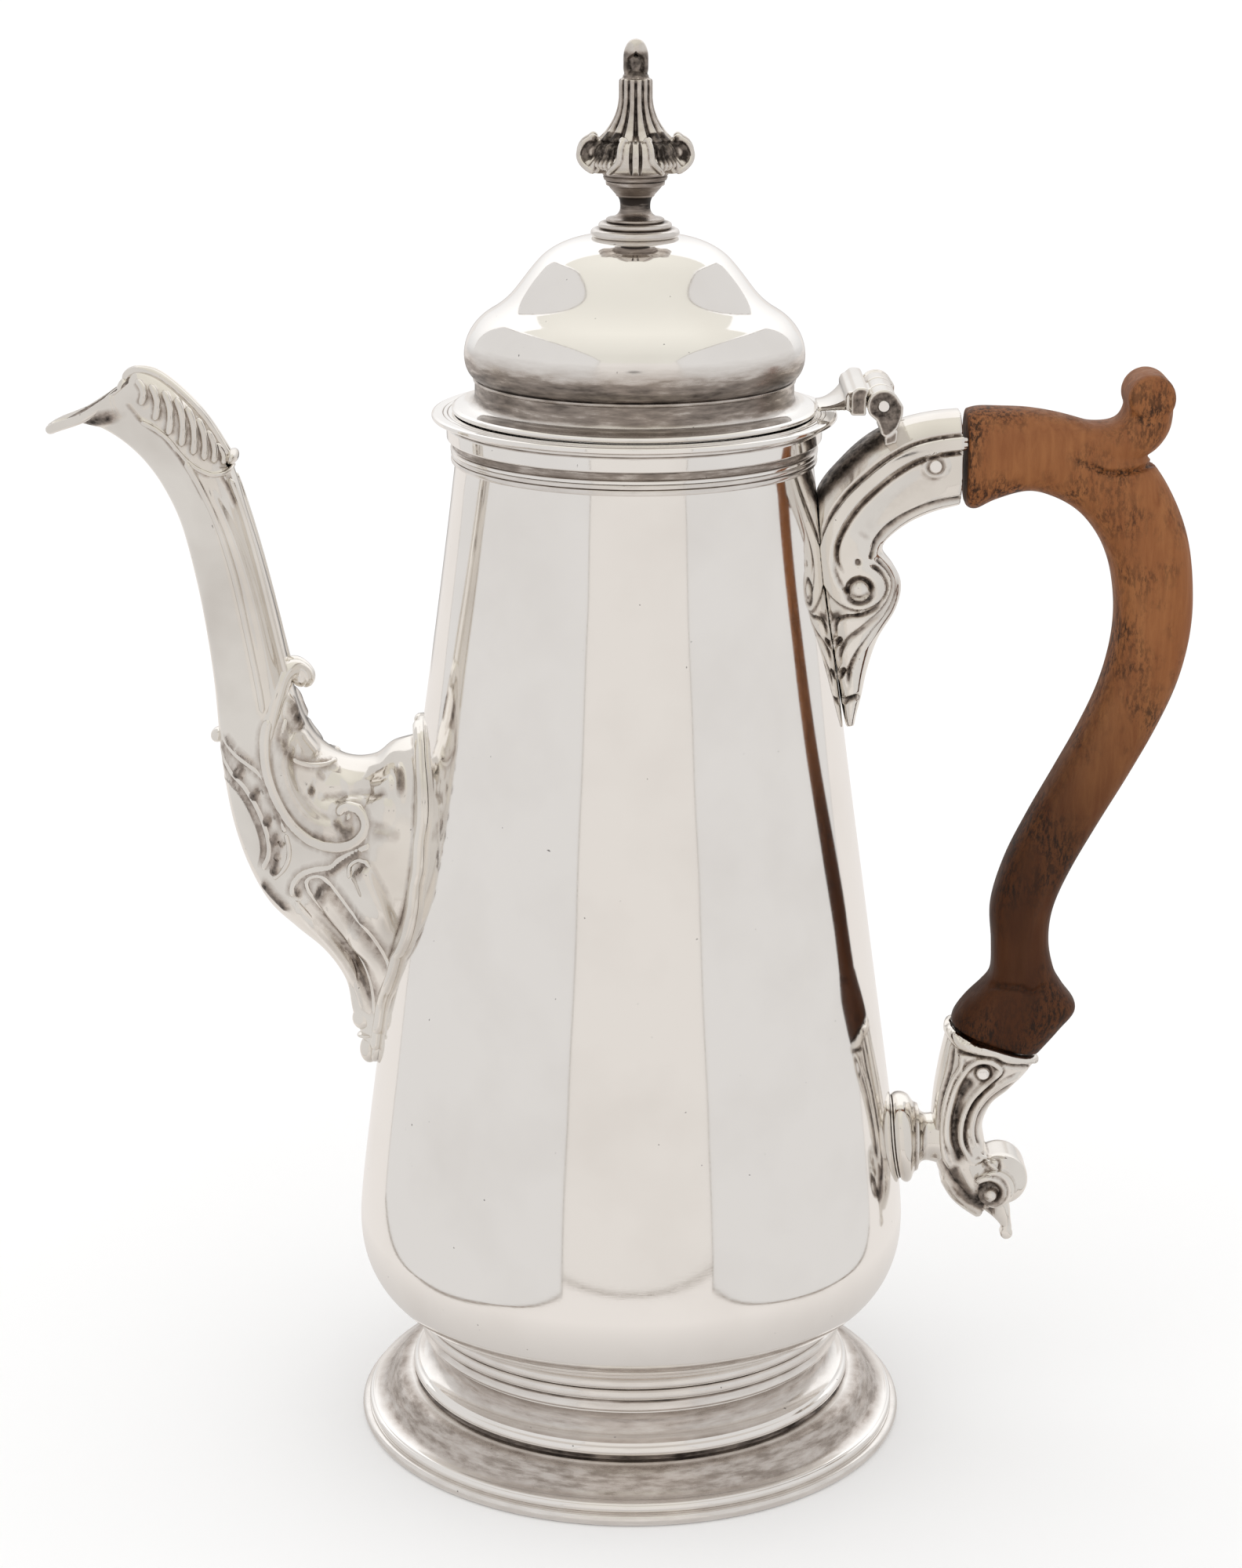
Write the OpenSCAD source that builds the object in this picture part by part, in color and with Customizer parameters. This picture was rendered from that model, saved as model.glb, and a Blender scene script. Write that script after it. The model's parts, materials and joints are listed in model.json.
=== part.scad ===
// Silver coffee pot with a wooden handle and a hinged lid.
// Millimetres, +Z up. The origin is the centre of the foot, on the surface that the pot stands on.
// The spout points along -X and the handle along +X. The pot is symmetric about the plane y = 0.

/* [Body] */
// Largest radius of the belly
belly_r = 50.6; // [48:0.1:54]
// Height of the belly
belly_z = 40; // [37:0.5:43]
// Radius of the body under the reeding
neck_r = 31.6; // [31:0.1:32]
// Height at which the reeding starts
neck_z = 182; // [180:0.5:184]
// Height of the body's underside
underside_z = 24; // [23.5:0.1:24.5]
// Thickness of the sheet silver
sheet = 1; // [0.8:0.1:1.2]

/* [Foot] */
// Radius of the foot rim
foot_r = 50.9; // [49:0.1:53]
// Thickness of the wire around the foot rim
foot_wire = 2; // [1.8:0.1:2.2]

/* [Rim] */
// Radius of the flange around the mouth
flange_r = 35.6; // [35:0.1:37]
// Height of the mouth
mouth_z = 191; // [190.8:0.1:191.2]

/* [Lid] */
// Radius of the lid's edge
lid_r = 32.1; // [31.8:0.1:32.6]
// Largest radius of the lid's bulge
bulge_r = 30; // [29:0.1:31]
// Height at which the finial stands
crown_z = 221.4; // [221:0.1:222]

/* [Hinge] */
// Distance of the hinge pin from the pot's axis
hinge_x = 43; // [42.8:0.1:43.4]
// Height of the hinge pin
hinge_z = 193.8; // [193.6:0.1:194]
// Radius of the hinge pin
hinge_pin_r = 1.1; // [1:0.05:1.2]
// Length of the hinge barrel
hinge_w = 22; // [18:0.5:24]

/* [Spout] */
// Half the spout's width where it leaves the body
spout_root_w = 18; // [16:0.5:19]
// Half the spout's width at the lip
spout_lip_w = 4.6; // [4:0.1:5]
// Wall thickness of the cast spout
spout_wall = 1.3; // [1:0.1:1.5]
// Radius of each strainer hole behind the spout
strainer_r = 1.3; // [1:0.1:1.5]

/* [Handle] */
// Half the width of the wooden handle
handle_w = 6.8; // [6:0.1:7.5]
// Radius of the handle's upper tenon
upper_tenon_r = 6; // [5.5:0.1:6.2]
// Radius of the handle's lower tenon
lower_tenon_r = 5.4; // [5:0.1:5.5]
// Radius of the two pins through the tenons
socket_pin_r = 1.25; // [1:0.05:1.4]

/* [Hidden] */
$fn = 96;

// Clearance round a piece that sits still in another, and round one that turns
snug = 0.02;
running = 0.05;
// Gap at a soldered seam against the tapered body
touch = 0.05;

// Radius at which the rounded belly turns under
belly_round_r = 14;
// Full-roundness exponent of that turn: 2 would be an ellipse
belly_power = 2.3;
// Radius of the let-in bottom disc
bottom_r = belly_r - belly_round_r;
// Top edge of the raised body, just under the flange's top
body_top_z = mouth_z - 0.8;
// Inner radius of the neck at the mouth
neck_bore_r = neck_r - sheet;

// Foot heights, from the surface up
foot_step_z = 8.2;
foot_neck_z = 16.8;
// Foot radii
foot_step_r = 40.6;
foot_neck_r = 37;
collet_r = 39.8;

// Lid heights
lid_edge_z = mouth_z + 0.15;
lid_band_z = 197.2;
lid_bulge_z = 202;
lid_band_r = 28;

// The finial, as heights
finial_waist_z = 226.4;
finial_cup_z = 228.4;
finial_crown_z = 232.6;
finial_bell_z = 248.4;
finial_top_z = 255.2;

// Handle pin places on the plane y = 0
upper_pin = [52.6, 182.6];
lower_pin = [64.6, 69.3];
// Centre of the lower socket's mouth, and the tilt of its axis from the vertical
lower_mouth = [66.8, 73.4];
lower_tilt = 18;
upper_mouth = [57.2, 183];

hinge_barrel_r = 2.6;
hinge_relief_r = 2.95;
lid_knuckle_w = 7;
boss_z = 54;

silver = [0.86, 0.85, 0.83];
wood = [0.55, 0.34, 0.2];

// ---- curves ----

// Point on a cubic Bezier curve
function bezier(p, t) =
    pow(1 - t, 3) * p[0] + 3 * t * pow(1 - t, 2) * p[1] + 3 * t * t * (1 - t) * p[2] + pow(t, 3) * p[3];
function bezier_run(p, steps, first = 0) = [for (i = [first:steps]) bezier(p, i / steps)];

// Points on an arc that starts and ends at the given angles
function arc(centre, r, from, to, steps) =
    [for (i = [0:steps]) let (a = from + (to - from) * i / steps) centre + r * [cos(a), sin(a)]];

// Smooth curve through a list of stations of any length, by Catmull-Rom
function at(list, i) = list[max(0, min(len(list) - 1, i))];
function blend(p, q, r, s, t) =
    0.5 * ((2 * q) + (r - p) * t + (2 * p - 5 * q + 4 * r - s) * t * t + (3 * q - p - 3 * r + s) * t * t * t);
function smooth(list, steps) = [
    for (i = [0:len(list) - 2]) for (k = [0:steps - 1])
        blend(at(list, i - 1), list[i], list[i + 1], at(list, i + 2), k / steps),
    list[len(list) - 1]
];

// Sign-keeping power, for rounded-square sections
function bent(v, e) = sign(v) * pow(abs(v), e);

// ---- the body's outline ----

// The taper from belly to neck is one Bezier curve
taper = [[belly_r, belly_z], [belly_r, belly_z + 11], [neck_r + 7.2, neck_z - 60], [neck_r, neck_z]];
taper_steps = 20;
// The turn under the belly is a superellipse
function belly_turn(inset, steps) = [
    for (i = [0:steps]) let (a = 90 * (1 - i / steps))
        [bottom_r + (belly_round_r - inset) * pow(cos(a), 2 / belly_power),
         belly_z - (belly_z - underside_z - inset) * pow(sin(a), 2 / belly_power)]
];
turn_steps = 10;
function body_outline(inset) = concat(
    belly_turn(inset, turn_steps),
    [for (p = bezier_run(taper, taper_steps, 1)) p - [inset, 0]],
    [[neck_r - inset, body_top_z]]
);
// Radius of the body's outside at a height above the belly, on the taper's straight chords
taper_points = bezier_run(taper, taper_steps);
function body_r(z) = lookup(z, [for (p = taper_points) [p[1], p[0]]]);

module revolve(points) {
    rotate_extrude() polygon(points);
}

// ---- swept castings ----

// A station is [outer x, outer z, inner x, inner z, half width]: the two ends of a cross-section
// on the plane y = 0, and how far it reaches to each side. The section is a rounded oval.
function station_ring(s, sides, power, inset = 0) =
    let (o = [s[0], s[1]], i = [s[2], s[3]], mid = (o + i) / 2, half = norm(o - i) / 2, dir = (o - i) / (2 * half))
    [for (k = [0:sides - 1]) let (a = 360 * k / sides, u = (half - inset) * bent(cos(a), 2 / power))
        [mid[0] + u * dir[0], (s[4] - inset) * bent(sin(a), 2 / power), mid[1] + u * dir[1]]];

// Faces that close the first and last ring: a fan across a round ring, or a strip across a C-shaped one
function fan_faces(first, sides) = [for (k = [1:sides - 2]) [first, first + k + 1, first + k]];
function strip_faces(first, sides) = [
    for (k = [0:sides / 2 - 2]) let (a = first + k, b = first + sides - 1 - k)
        each [[a, b, a + 1], [a + 1, b, b - 1]]
];
function flipped(faces) = [for (f = faces) [f[0], f[2], f[1]]];

// Closed solid through rings that all have the same number of points
module skin(rings, hollow = false) {
    sides = len(rings[0]);
    last = (len(rings) - 1) * sides;
    side_faces = [
        for (r = [0:len(rings) - 2]) for (k = [0:sides - 1])
            let (n = (k + 1) % sides, a = r * sides + k, b = r * sides + n, c = a + sides, d = b + sides)
            each [[a, b, d], [a, d, c]]
    ];
    start = hollow ? strip_faces(0, sides) : fan_faces(0, sides);
    end = flipped(hollow ? strip_faces(last, sides) : fan_faces(last, sides));
    polyhedron(points = [for (ring = rings) each ring], faces = concat(start, side_faces, end), convexity = 6);
}

// The rings are reversed where the path runs the other way round, so that every face points outwards
module sweep(stations, sides, power, steps) {
    rings = [for (s = smooth(stations, steps)) station_ring(s, sides, power)];
    outward = [stations[0][0] - stations[0][2], stations[0][1] - stations[0][3]];
    onward = [stations[1][0] + stations[1][2] - stations[0][0] - stations[0][2],
              stations[1][1] + stations[1][3] - stations[0][1] - stations[0][3]];
    clockwise = onward[0] * outward[1] - onward[1] * outward[0] > 0;
    skin(clockwise ? rings : [for (ring = rings) [for (k = [sides - 1:-1:0]) ring[k]]]);
}

// A round bar along Y, centred on the plane y = 0
module cross_bar(place, r, w) {
    translate([place[0], 0, place[1]]) rotate([90, 0, 0]) cylinder(r = r, h = w, center = true);
}

// ---- body ----

// Rows of strainer holes through the wall behind the spout, drilled along X
strainer_rows = 5;
strainer_pitch = 5;
strainer_z = 93;
strainer_first_x = -(belly_r + 4);
strainer_depth = 22;

module body() {
    color(silver) difference() {
        revolve(concat(body_outline(0), [for (i = [len(body_outline(sheet)) - 1:-1:0]) body_outline(sheet)[i]]));
        for (row = [0:strainer_rows - 1]) {
            holes = 3 + (row % 2);
            for (i = [0:holes - 1])
                translate([strainer_first_x, (i - (holes - 1) / 2) * strainer_pitch, strainer_z + row * strainer_pitch])
                    rotate([0, 90, 0]) cylinder(r = strainer_r, h = strainer_depth, $fn = 24);
        }
    }
}

// The disc let into the hole in the body's underside
module body_bottom() {
    color(silver) translate([0, 0, underside_z])
        cylinder(r = bottom_r - snug, h = sheet);
}

// ---- rim ----

band_r = neck_r + 1.3;
cove_lip_r = neck_r + 0.7;
band_top_z = mouth_z - 2.1;
band_z = band_top_z - 2.4;
cove_z = neck_z + 2.2;

// Flange, band and cove around the mouth, in one ring
module rim_moulding() {
    edge_r = 0.5;
    color(silver) revolve(concat(
        [[neck_r, cove_z], [cove_lip_r, cove_z]],
        bezier_run([[cove_lip_r, cove_z + 0.2], [neck_r + 0.2, cove_z + 0.5], [neck_r + 0.1, band_z - 0.9],
                    [neck_r + 0.3, band_z - 0.2]], 6),
        [[band_r - 0.2, band_z], [band_r, band_z + 0.3]],
        bezier_run([[band_r, band_top_z - 0.3], [band_r + 0.2, band_top_z + 0.7],
                    [flange_r - 1.4, mouth_z - 1.4], [flange_r - 0.3, mouth_z - 1.2]], 6),
        arc([flange_r - edge_r, mouth_z - 0.8], edge_r, -30, 80, 6),
        [[flange_r - 1.6, mouth_z], [neck_bore_r, mouth_z], [neck_bore_r, body_top_z], [neck_r, body_top_z]]
    ));
}

// Two half-round wires soldered one above the other
module rim_reeding() {
    reed_r = (cove_z - neck_z) / 4;
    color(silver) rotate_extrude() intersection() {
        union() {
            for (i = [0:1])
                translate([neck_r + 0.1 + 0.1 * i, neck_z + reed_r * (1 + 2 * i)]) circle(r = reed_r, $fn = 24);
            translate([neck_r, neck_z + 0.2]) square([0.3, cove_z - neck_z - 0.2]);
        }
        translate([neck_r, neck_z]) square([2, cove_z - neck_z]);
    }
}

// ---- foot ----

// Two rounded rings and a fillet between the body and the foot
module foot_collet() {
    ring_r = 1.05;
    color(silver) revolve(concat(
        [[foot_neck_r - sheet, foot_neck_z], [collet_r - 0.6, foot_neck_z], [collet_r - 0.4, foot_neck_z + 0.5],
         [collet_r - 1, foot_neck_z + 2]],
        arc([collet_r - ring_r + 0.2, foot_neck_z + 3.3], ring_r, -80, 80, 6),
        arc([collet_r - ring_r + 0.4, foot_neck_z + 5.5], ring_r, -80, 80, 6),
        [[collet_r - 1, underside_z], [foot_neck_r - sheet, underside_z]]
    ));
}

foot_top = [[foot_neck_r + 1.6, foot_neck_z], [foot_neck_r - 0.6, foot_neck_z - 2],
            [foot_neck_r + 0.4, foot_step_z + 3.6], [foot_step_r - 0.5, foot_step_z + 2.4]];
foot_skirt = [[foot_step_r + 0.2, foot_step_z], [foot_r - 4.6, foot_step_z],
              [foot_r - 7.6, foot_wire + 2.2], [foot_r - 2, foot_wire + 1.5]];
bead_r = 0.75;

// Spread foot in two tiers, hollow underneath
module foot() {
    top = bezier_run(foot_top, 10);
    skirt = bezier_run(foot_skirt, 10);
    color(silver) revolve(concat(
        top,
        arc([foot_step_r - 0.5, foot_step_z + 1.2], 0.9, 80, -80, 6),
        skirt,
        arc([foot_r - 2, foot_wire + bead_r], bead_r, 80, -90, 6),
        [for (i = [len(skirt) - 1:-1:0]) skirt[i] - [sheet * 0.8, sheet]],
        [[foot_step_r - sheet * 1.6, foot_step_z + 1]],
        [for (i = [len(top) - 1:-1:0]) top[i] - [sheet * 1.4, 0]]
    ));
}

// The heavy wire that the pot stands on
module foot_rim_wire() {
    wire_r = foot_wire / 2;
    color(silver) revolve(concat(
        [[foot_r - 3.2, 0]],
        arc([foot_r - wire_r, wire_r], wire_r, -90, 90, 8),
        [[foot_r - 3.2, foot_wire]]
    ));
}

// ---- spout ----

// Stations from the body to the lip
spout_path = [
    [-53.2, 84, -45.5, 127, spout_root_w - 2.5],
    [-60, 94.5, -53.5, 128.2, spout_root_w - 5],
    [-67, 102, -57, 131.6, spout_root_w - 7],
    [-72, 112, -59.5, 137, spout_root_w - 8.8],
    [-74.6, 125, -61.3, 142.5, 7.8],
    [-75.3, 138, -63, 150, 6.9],
    [-76.7, 152, -65.2, 161, 6.2],
    [-79, 165, -68, 171, 5.8],
    [-82.8, 176.5, -70.8, 180.5, 5.5],
    [-88.5, 183.6, -75.2, 189.2, 5.2],
    [-96, 187.4, -81.5, 195.4, 4.9],
    [-104, 187.9, -88, 197.8, spout_lip_w]
];
spout_sides = 16;
spout_steps = 2;
spout_root_low = 72.5;
spout_root_high = 131.5;

// The ring where the spout meets the body: an oval wrapped round the body's outside
function root_ring(inset) = [
    for (k = [0:spout_sides - 1]) let (
        a = 360 * k / spout_sides,
        y = (spout_root_w - inset) * sin(a),
        z = (spout_root_low + spout_root_high) / 2 - ((spout_root_high - spout_root_low) / 2 - inset) * cos(a),
        r = body_r(z) + 0.03)
    [-sqrt(r * r - y * y), y, z]
];
spout_stations = smooth(spout_path, spout_steps);
function spout_rings(inset) =
    concat([root_ring(inset)], [for (s = spout_stations) station_ring(s, spout_sides, 2.3, inset)]);

// One half of each ring as a C: outside round, then inside back
function half_ring(outer, inner) = let (n = spout_sides / 2)
    concat([for (k = [0:n]) outer[k]], [for (k = [n:-1:0]) inner[k]]);

module spout_half(side) {
    outer = spout_rings(0);
    inner = spout_rings(spout_wall);
    color(silver) mirror([0, side < 0 ? 1 : 0, 0])
        skin([for (i = [0:len(outer) - 1]) half_ring(outer[i], inner[i])], hollow = true);
}

module spout_half_left() {
    spout_half(-1);
}

module spout_half_right() {
    spout_half(1);
}

// ---- sockets ----

upper_socket_path = [
    [57.2, 191.4, 57.4, 174.4, 7.8],
    [50, 190, 51.5, 173, 7.6],
    [43.6, 186.6, 47.2, 170.8, 7.4],
    [37.4, 180.4, 44.8, 167.6, 7.2],
    [body_r(174) + touch, 174, 45.2, 164.8, 7],
    [body_r(165) + touch, 165, 47.6, 161.5, 6.4],
    [body_r(156) + touch, 156, 47.2, 155.6, 5.6],
    [body_r(148) + touch, 148, 44.8, 150.4, 4.6],
    [body_r(141) + touch, 141, 42.8, 143, 3.2],
    [body_r(134.5) + touch, 134.5, 40, 135, 1.2]
];

module upper_socket() {
    color(silver) difference() {
        sweep(upper_socket_path, 16, 2.4, 2);
        translate([upper_mouth[0] - 8.4, 0, upper_mouth[1]]) rotate([0, 90, 0])
            cylinder(r = upper_tenon_r + snug, h = 12);
        cross_bar(upper_pin, socket_pin_r + snug, 30);
    }
}

lower_socket_path = [
    [58.7, 76.2, 74.9, 70.6, 7.9],
    [56.9, 68, 71.6, 65.6, 7.4],
    [56.3, 59.5, 66.9, 61, 6.8],
    [57, 50, 65.4, 56.2, 6.4],
    [60.4, 42, 67, 52.4, 6.3],
    [65.4, 38.4, 70, 48.6, 6]
];
volute = [69.2, 46.6];

module lower_socket() {
    color(silver) difference() {
        union() {
            sweep(lower_socket_path, 16, 2.4, 2);
            cross_bar(volute, 5.2, 13);
        }
        translate([lower_mouth[0], 0, lower_mouth[1]]) rotate([0, lower_tilt, 0]) translate([0, 0, -8.6])
            cylinder(r = lower_tenon_r + snug, h = 14);
        cross_bar(lower_pin, socket_pin_r + snug, 30);
    }
}

// Turned boss that stands the lower socket off the body
module lower_socket_boss() {
    boss_r = 8.5;
    neck = 4.7;
    start = body_r(boss_z) - 1.2;
    end = 57.8;
    color(silver) difference() {
        translate([0, 0, boss_z]) rotate([0, 90, 0]) revolve(concat(
            [[0, start], [boss_r - 1, start]],
            arc([boss_r - 1.6, start + 2.6], 1.6, -40, 90, 6),
            [[boss_r - 2.2, start + 4.5], [boss_r - 2.6, start + 4.8]],
            arc([neck + 1.6, start + 6.4], 1.6, 270, 180, 5),
            [[neck, end - 1.6], [neck + 0.3, end], [0, end]]
        ));
        revolve([[0, 30], [body_r(41), 41], [body_r(48), 48], [body_r(54), 54], [body_r(60), 60],
                 [body_r(66), 66], [0, 66]]);
    }
}

// A little longer than its socket is wide, so that both ends show
module upper_handle_pin() {
    color(silver) cross_bar(upper_pin, socket_pin_r, 15.4);
}

module lower_handle_pin() {
    color(silver) cross_bar(lower_pin, socket_pin_r, 15);
}

// ---- handle ----

handle_path = [
    [58.3, 191.4, 58.4, 174.4, handle_w + 0.9],
    [63, 191.9, 63, 175.2, handle_w + 0.9],
    [70, 191.7, 68.8, 177, handle_w + 0.5],
    [78.4, 190.2, 74, 176, handle_w],
    [87, 186.6, 78.4, 173.6, handle_w],
    [93, 179.6, 82.2, 169, handle_w],
    [97.4, 170.6, 84.6, 162.8, handle_w],
    [99.5, 158.6, 85.7, 155, handle_w],
    [98.6, 147, 84.5, 145, handle_w],
    [94.5, 135, 80.2, 133.5, handle_w],
    [88, 122, 73.2, 120.5, handle_w],
    [81.5, 110, 68, 108.6, handle_w],
    [77, 99.5, 65.4, 98, handle_w],
    [76.4, 92, 66, 90.6, handle_w],
    [78, 86.6, 63.8, 84.4, handle_w + 0.4],
    [81.6, 80, 60.4, 80.4, handle_w + 0.8],
    [75.1, 71.3, 58.9, 76.9, handle_w + 0.6]
];
thumb = [90.3, 194.2];
thumb_r = 4.1;

module handle() {
    color(wood) difference() {
        union() {
            sweep(handle_path, 16, 2.6, 2);
            cross_bar(thumb, thumb_r, 2 * handle_w - 1);
            translate([0, handle_w - 0.5, 0]) rotate([90, 0, 0]) linear_extrude(2 * handle_w - 1)
                polygon([[84, 187], [86.4, 193.4], [88, 191], [92.6, 191.4], [91.4, 188.4], [92, 182]]);
            translate([upper_mouth[0] - 8.2, 0, upper_mouth[1]]) rotate([0, 90, 0])
                cylinder(r = upper_tenon_r, h = 12);
            translate([lower_mouth[0], 0, lower_mouth[1]]) rotate([0, lower_tilt, 0]) translate([0, 0, -8.4])
                cylinder(r = lower_tenon_r, h = 12);
        }
        cross_bar(upper_pin, socket_pin_r + snug, 30);
        cross_bar(lower_pin, socket_pin_r + snug, 30);
    }
}

// ---- hinge ----

hinge = [hinge_x, hinge_z];

// Fixed half: two outer knuckles on a plate that stands on the upper socket
module socket_hinge_leaf() {
    knuckle_w = (hinge_w - lid_knuckle_w) / 2 - 0.15;
    plate_low = 187;
    color(silver) difference() {
        union() {
            for (side = [-1, 1])
                translate([hinge_x, side * (hinge_w - knuckle_w) / 2, hinge_z]) rotate([90, 0, 0])
                    cylinder(r = hinge_barrel_r, h = knuckle_w, center = true);
            translate([hinge_x + 0.8, -hinge_w / 2, plate_low]) cube([hinge_barrel_r - 0.8, hinge_w, hinge_z - plate_low]);
        }
        cross_bar(hinge, hinge_pin_r + snug, 30);
        cross_bar(hinge, hinge_relief_r, lid_knuckle_w + 0.3);
    }
}

module hinge_pin() {
    color(silver) cross_bar(hinge, hinge_pin_r, hinge_w + 0.6);
}

// Moving half: the middle knuckle, a block beside the barrel, and the arm to the lid's edge
module lid_hinge_leaf() {
    block_x = hinge_x - 5.8;
    block_w = hinge_w - 0.4;
    color(silver) difference() {
        union() {
            cross_bar(hinge, hinge_barrel_r, lid_knuckle_w);
            translate([block_x, -block_w / 2, hinge_z - 1.8]) cube([5.8 - hinge_relief_r, block_w, 4.3]);
            translate([hinge_x - 3.4, -lid_knuckle_w / 2, hinge_z - 1.8]) cube([2.4, lid_knuckle_w, 3.4]);
            hull() {
                translate([lid_r - 0.5, -5, lid_edge_z + 0.7]) cube([0.4, 10, 1.2]);
                translate([block_x, -block_w / 2, hinge_z - 1.8]) cube([0.4, block_w, 4.1]);
            }
        }
        cross_bar(hinge, hinge_pin_r + running, 30);
        revolve([[0, lid_edge_z - 1], [lid_r + 0.02, lid_edge_z - 1], [lid_r + 0.02, lid_edge_z + 3], [0, lid_edge_z + 3]]);
    }
}

// ---- lid ----

dome_low = [[lid_band_r + 0.2, lid_band_z], [bulge_r + 0.6, lid_band_z + 1.6], [bulge_r + 0.9, lid_bulge_z + 3.4], [25.1, 208.6]];
dome_side = [[25.1, 208.6], [21, 211.1], [20.4, 213.4], [16.8, 217.4]];
dome_cap = [[16.8, 217.4], [14.6, 219.8], [11, 221.2], [7.6, crown_z]];
dome_top = 222.4;

// Raised in one piece from sheet
module lid_dome() {
    low = bezier_run(dome_low, 10);
    high = concat(bezier_run(dome_side, 7, 1), bezier_run(dome_cap, 6, 1));
    outside = concat(low, high, [[0, dome_top]]);
    inside = concat(
        [[0, dome_top - sheet]],
        [for (i = [len(high) - 1:-1:0]) high[i] - [sheet * 0.7, sheet * 0.7]],
        [for (i = [len(low) - 1:-1:0]) low[i] - [sheet, 0]]
    );
    color(silver) revolve(concat(outside, inside));
}

// Band and flared edge under the dome
module lid_rim() {
    flare = bezier_run([[lid_band_r + 0.1, lid_band_z], [lid_band_r - 0.2, lid_edge_z + 2],
                        [lid_band_r + 0.8, lid_edge_z + 1.5], [lid_r - 0.4, lid_edge_z + 0.85]], 8);
    color(silver) revolve(concat(
        flare,
        arc([lid_r - 0.42, lid_edge_z + 0.42], 0.42, 80, -90, 5),
        [[neck_bore_r - 1, lid_edge_z], [neck_bore_r - 1, lid_edge_z + 0.8], [lid_band_r - sheet, lid_edge_z + 1.4],
         [lid_band_r - sheet, lid_band_z]]
    ));
}

// Thin ring under the lid that drops into the neck
module lid_bezel() {
    bezel_r = neck_bore_r - 1;
    color(silver) revolve([
        [bezel_r - 0.8, mouth_z - 4], [bezel_r - 0.5, mouth_z - 4.2], [bezel_r, lid_edge_z + 0.8],
        [bezel_r - 0.8, lid_edge_z + 0.8]
    ]);
}

// ---- finial ----

// Turned disc with three rings and a waist
module finial_base() {
    waist_r = 2.6;
    color(silver) difference() {
        revolve(concat(
            [[0, crown_z]],
            arc([7.05, crown_z + 0.7], 0.7, -90, 70, 6),
            arc([5.85, crown_z + 1.95], 0.55, -60, 80, 5),
            arc([4.7, crown_z + 2.8], 0.35, -40, 90, 5),
            bezier_run([[4.2, crown_z + 3.15], [3, crown_z + 3.5], [waist_r, crown_z + 4.2], [waist_r, finial_waist_z]], 6),
            bezier_run([[waist_r, finial_waist_z], [waist_r, finial_waist_z + 1.1],
                        [2.8, finial_cup_z - 0.3], [3.1, finial_cup_z]], 5, 1),
            [[0, finial_cup_z]]
        ));
        revolve([[0, crown_z - 1], [7.6, crown_z - 1], [7.6, crown_z], [0, dome_top]]);
    }
}

// Turned cup with stepped rings
module finial_cup() {
    color(silver) revolve(concat(
        [[0, finial_cup_z]],
        bezier_run([[3.3, finial_cup_z], [3.6, finial_cup_z + 0.8], [4.4, finial_cup_z + 1.4], [4.8, finial_cup_z + 1.9]], 6),
        [[5.1, finial_cup_z + 2.1], [5.2, finial_cup_z + 2.8], [5.5, finial_cup_z + 3], [5.7, finial_crown_z]],
        [[0, finial_crown_z]]
    ));
}

// Cast bell with a scrolled brim and a curled tip
module finial_crown() {
    brim_r = 2.85;
    brim_z = finial_crown_z + brim_r;
    bell_r = 2.9;
    tip_r = 2.2;
    color(silver) revolve(concat(
        [[0, finial_crown_z], [6, finial_crown_z]],
        arc([7.3, brim_z + 0.3], brim_r, -90, 90, 10),
        bezier_run([[6.2, brim_z + 2.9], [3.9, brim_z + 5], [bell_r, brim_z + 7.6], [bell_r, finial_bell_z]], 8),
        [[tip_r, finial_bell_z]],
        arc([0, finial_top_z - tip_r], tip_r, 0, 90, 8)
    ));
}

body();
body_bottom();
rim_moulding();
rim_reeding();
foot_collet();
foot();
foot_rim_wire();
spout_half_left();
spout_half_right();
upper_socket();
socket_hinge_leaf();
hinge_pin();
upper_handle_pin();
handle();
lower_handle_pin();
lower_socket();
lower_socket_boss();
lid_dome();
lid_rim();
lid_bezel();
lid_hinge_leaf();
finial_base();
finial_cup();
finial_crown();
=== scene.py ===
"""The looks of the silver coffee pot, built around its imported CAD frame.

Shapes are worked out in millimetres and turned into metres as each mesh is made.
The pot stands on z = 0, its spout points along -X and its handle along +X.
"""
import json
import math

import bmesh
import bpy
import numpy as np
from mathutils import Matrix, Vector


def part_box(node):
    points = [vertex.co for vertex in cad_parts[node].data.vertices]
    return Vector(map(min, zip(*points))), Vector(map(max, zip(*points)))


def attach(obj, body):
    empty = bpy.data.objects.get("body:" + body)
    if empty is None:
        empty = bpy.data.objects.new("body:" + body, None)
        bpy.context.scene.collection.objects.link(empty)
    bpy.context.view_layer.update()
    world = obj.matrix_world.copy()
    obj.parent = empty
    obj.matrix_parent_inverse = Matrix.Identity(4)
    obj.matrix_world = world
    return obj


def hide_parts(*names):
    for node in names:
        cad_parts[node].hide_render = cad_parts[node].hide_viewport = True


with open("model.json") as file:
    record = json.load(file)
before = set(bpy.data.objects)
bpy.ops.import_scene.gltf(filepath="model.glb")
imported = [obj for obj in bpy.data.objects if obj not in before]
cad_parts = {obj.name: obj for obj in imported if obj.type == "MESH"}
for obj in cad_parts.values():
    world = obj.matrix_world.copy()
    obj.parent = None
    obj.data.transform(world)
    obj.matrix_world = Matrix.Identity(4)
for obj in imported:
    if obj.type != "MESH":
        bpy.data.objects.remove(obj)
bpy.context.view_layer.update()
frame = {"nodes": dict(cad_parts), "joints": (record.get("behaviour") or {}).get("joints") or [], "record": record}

MM = 0.001
# Points closer than this, in metres, count as one
SAME_PLACE = 1e-7


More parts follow.
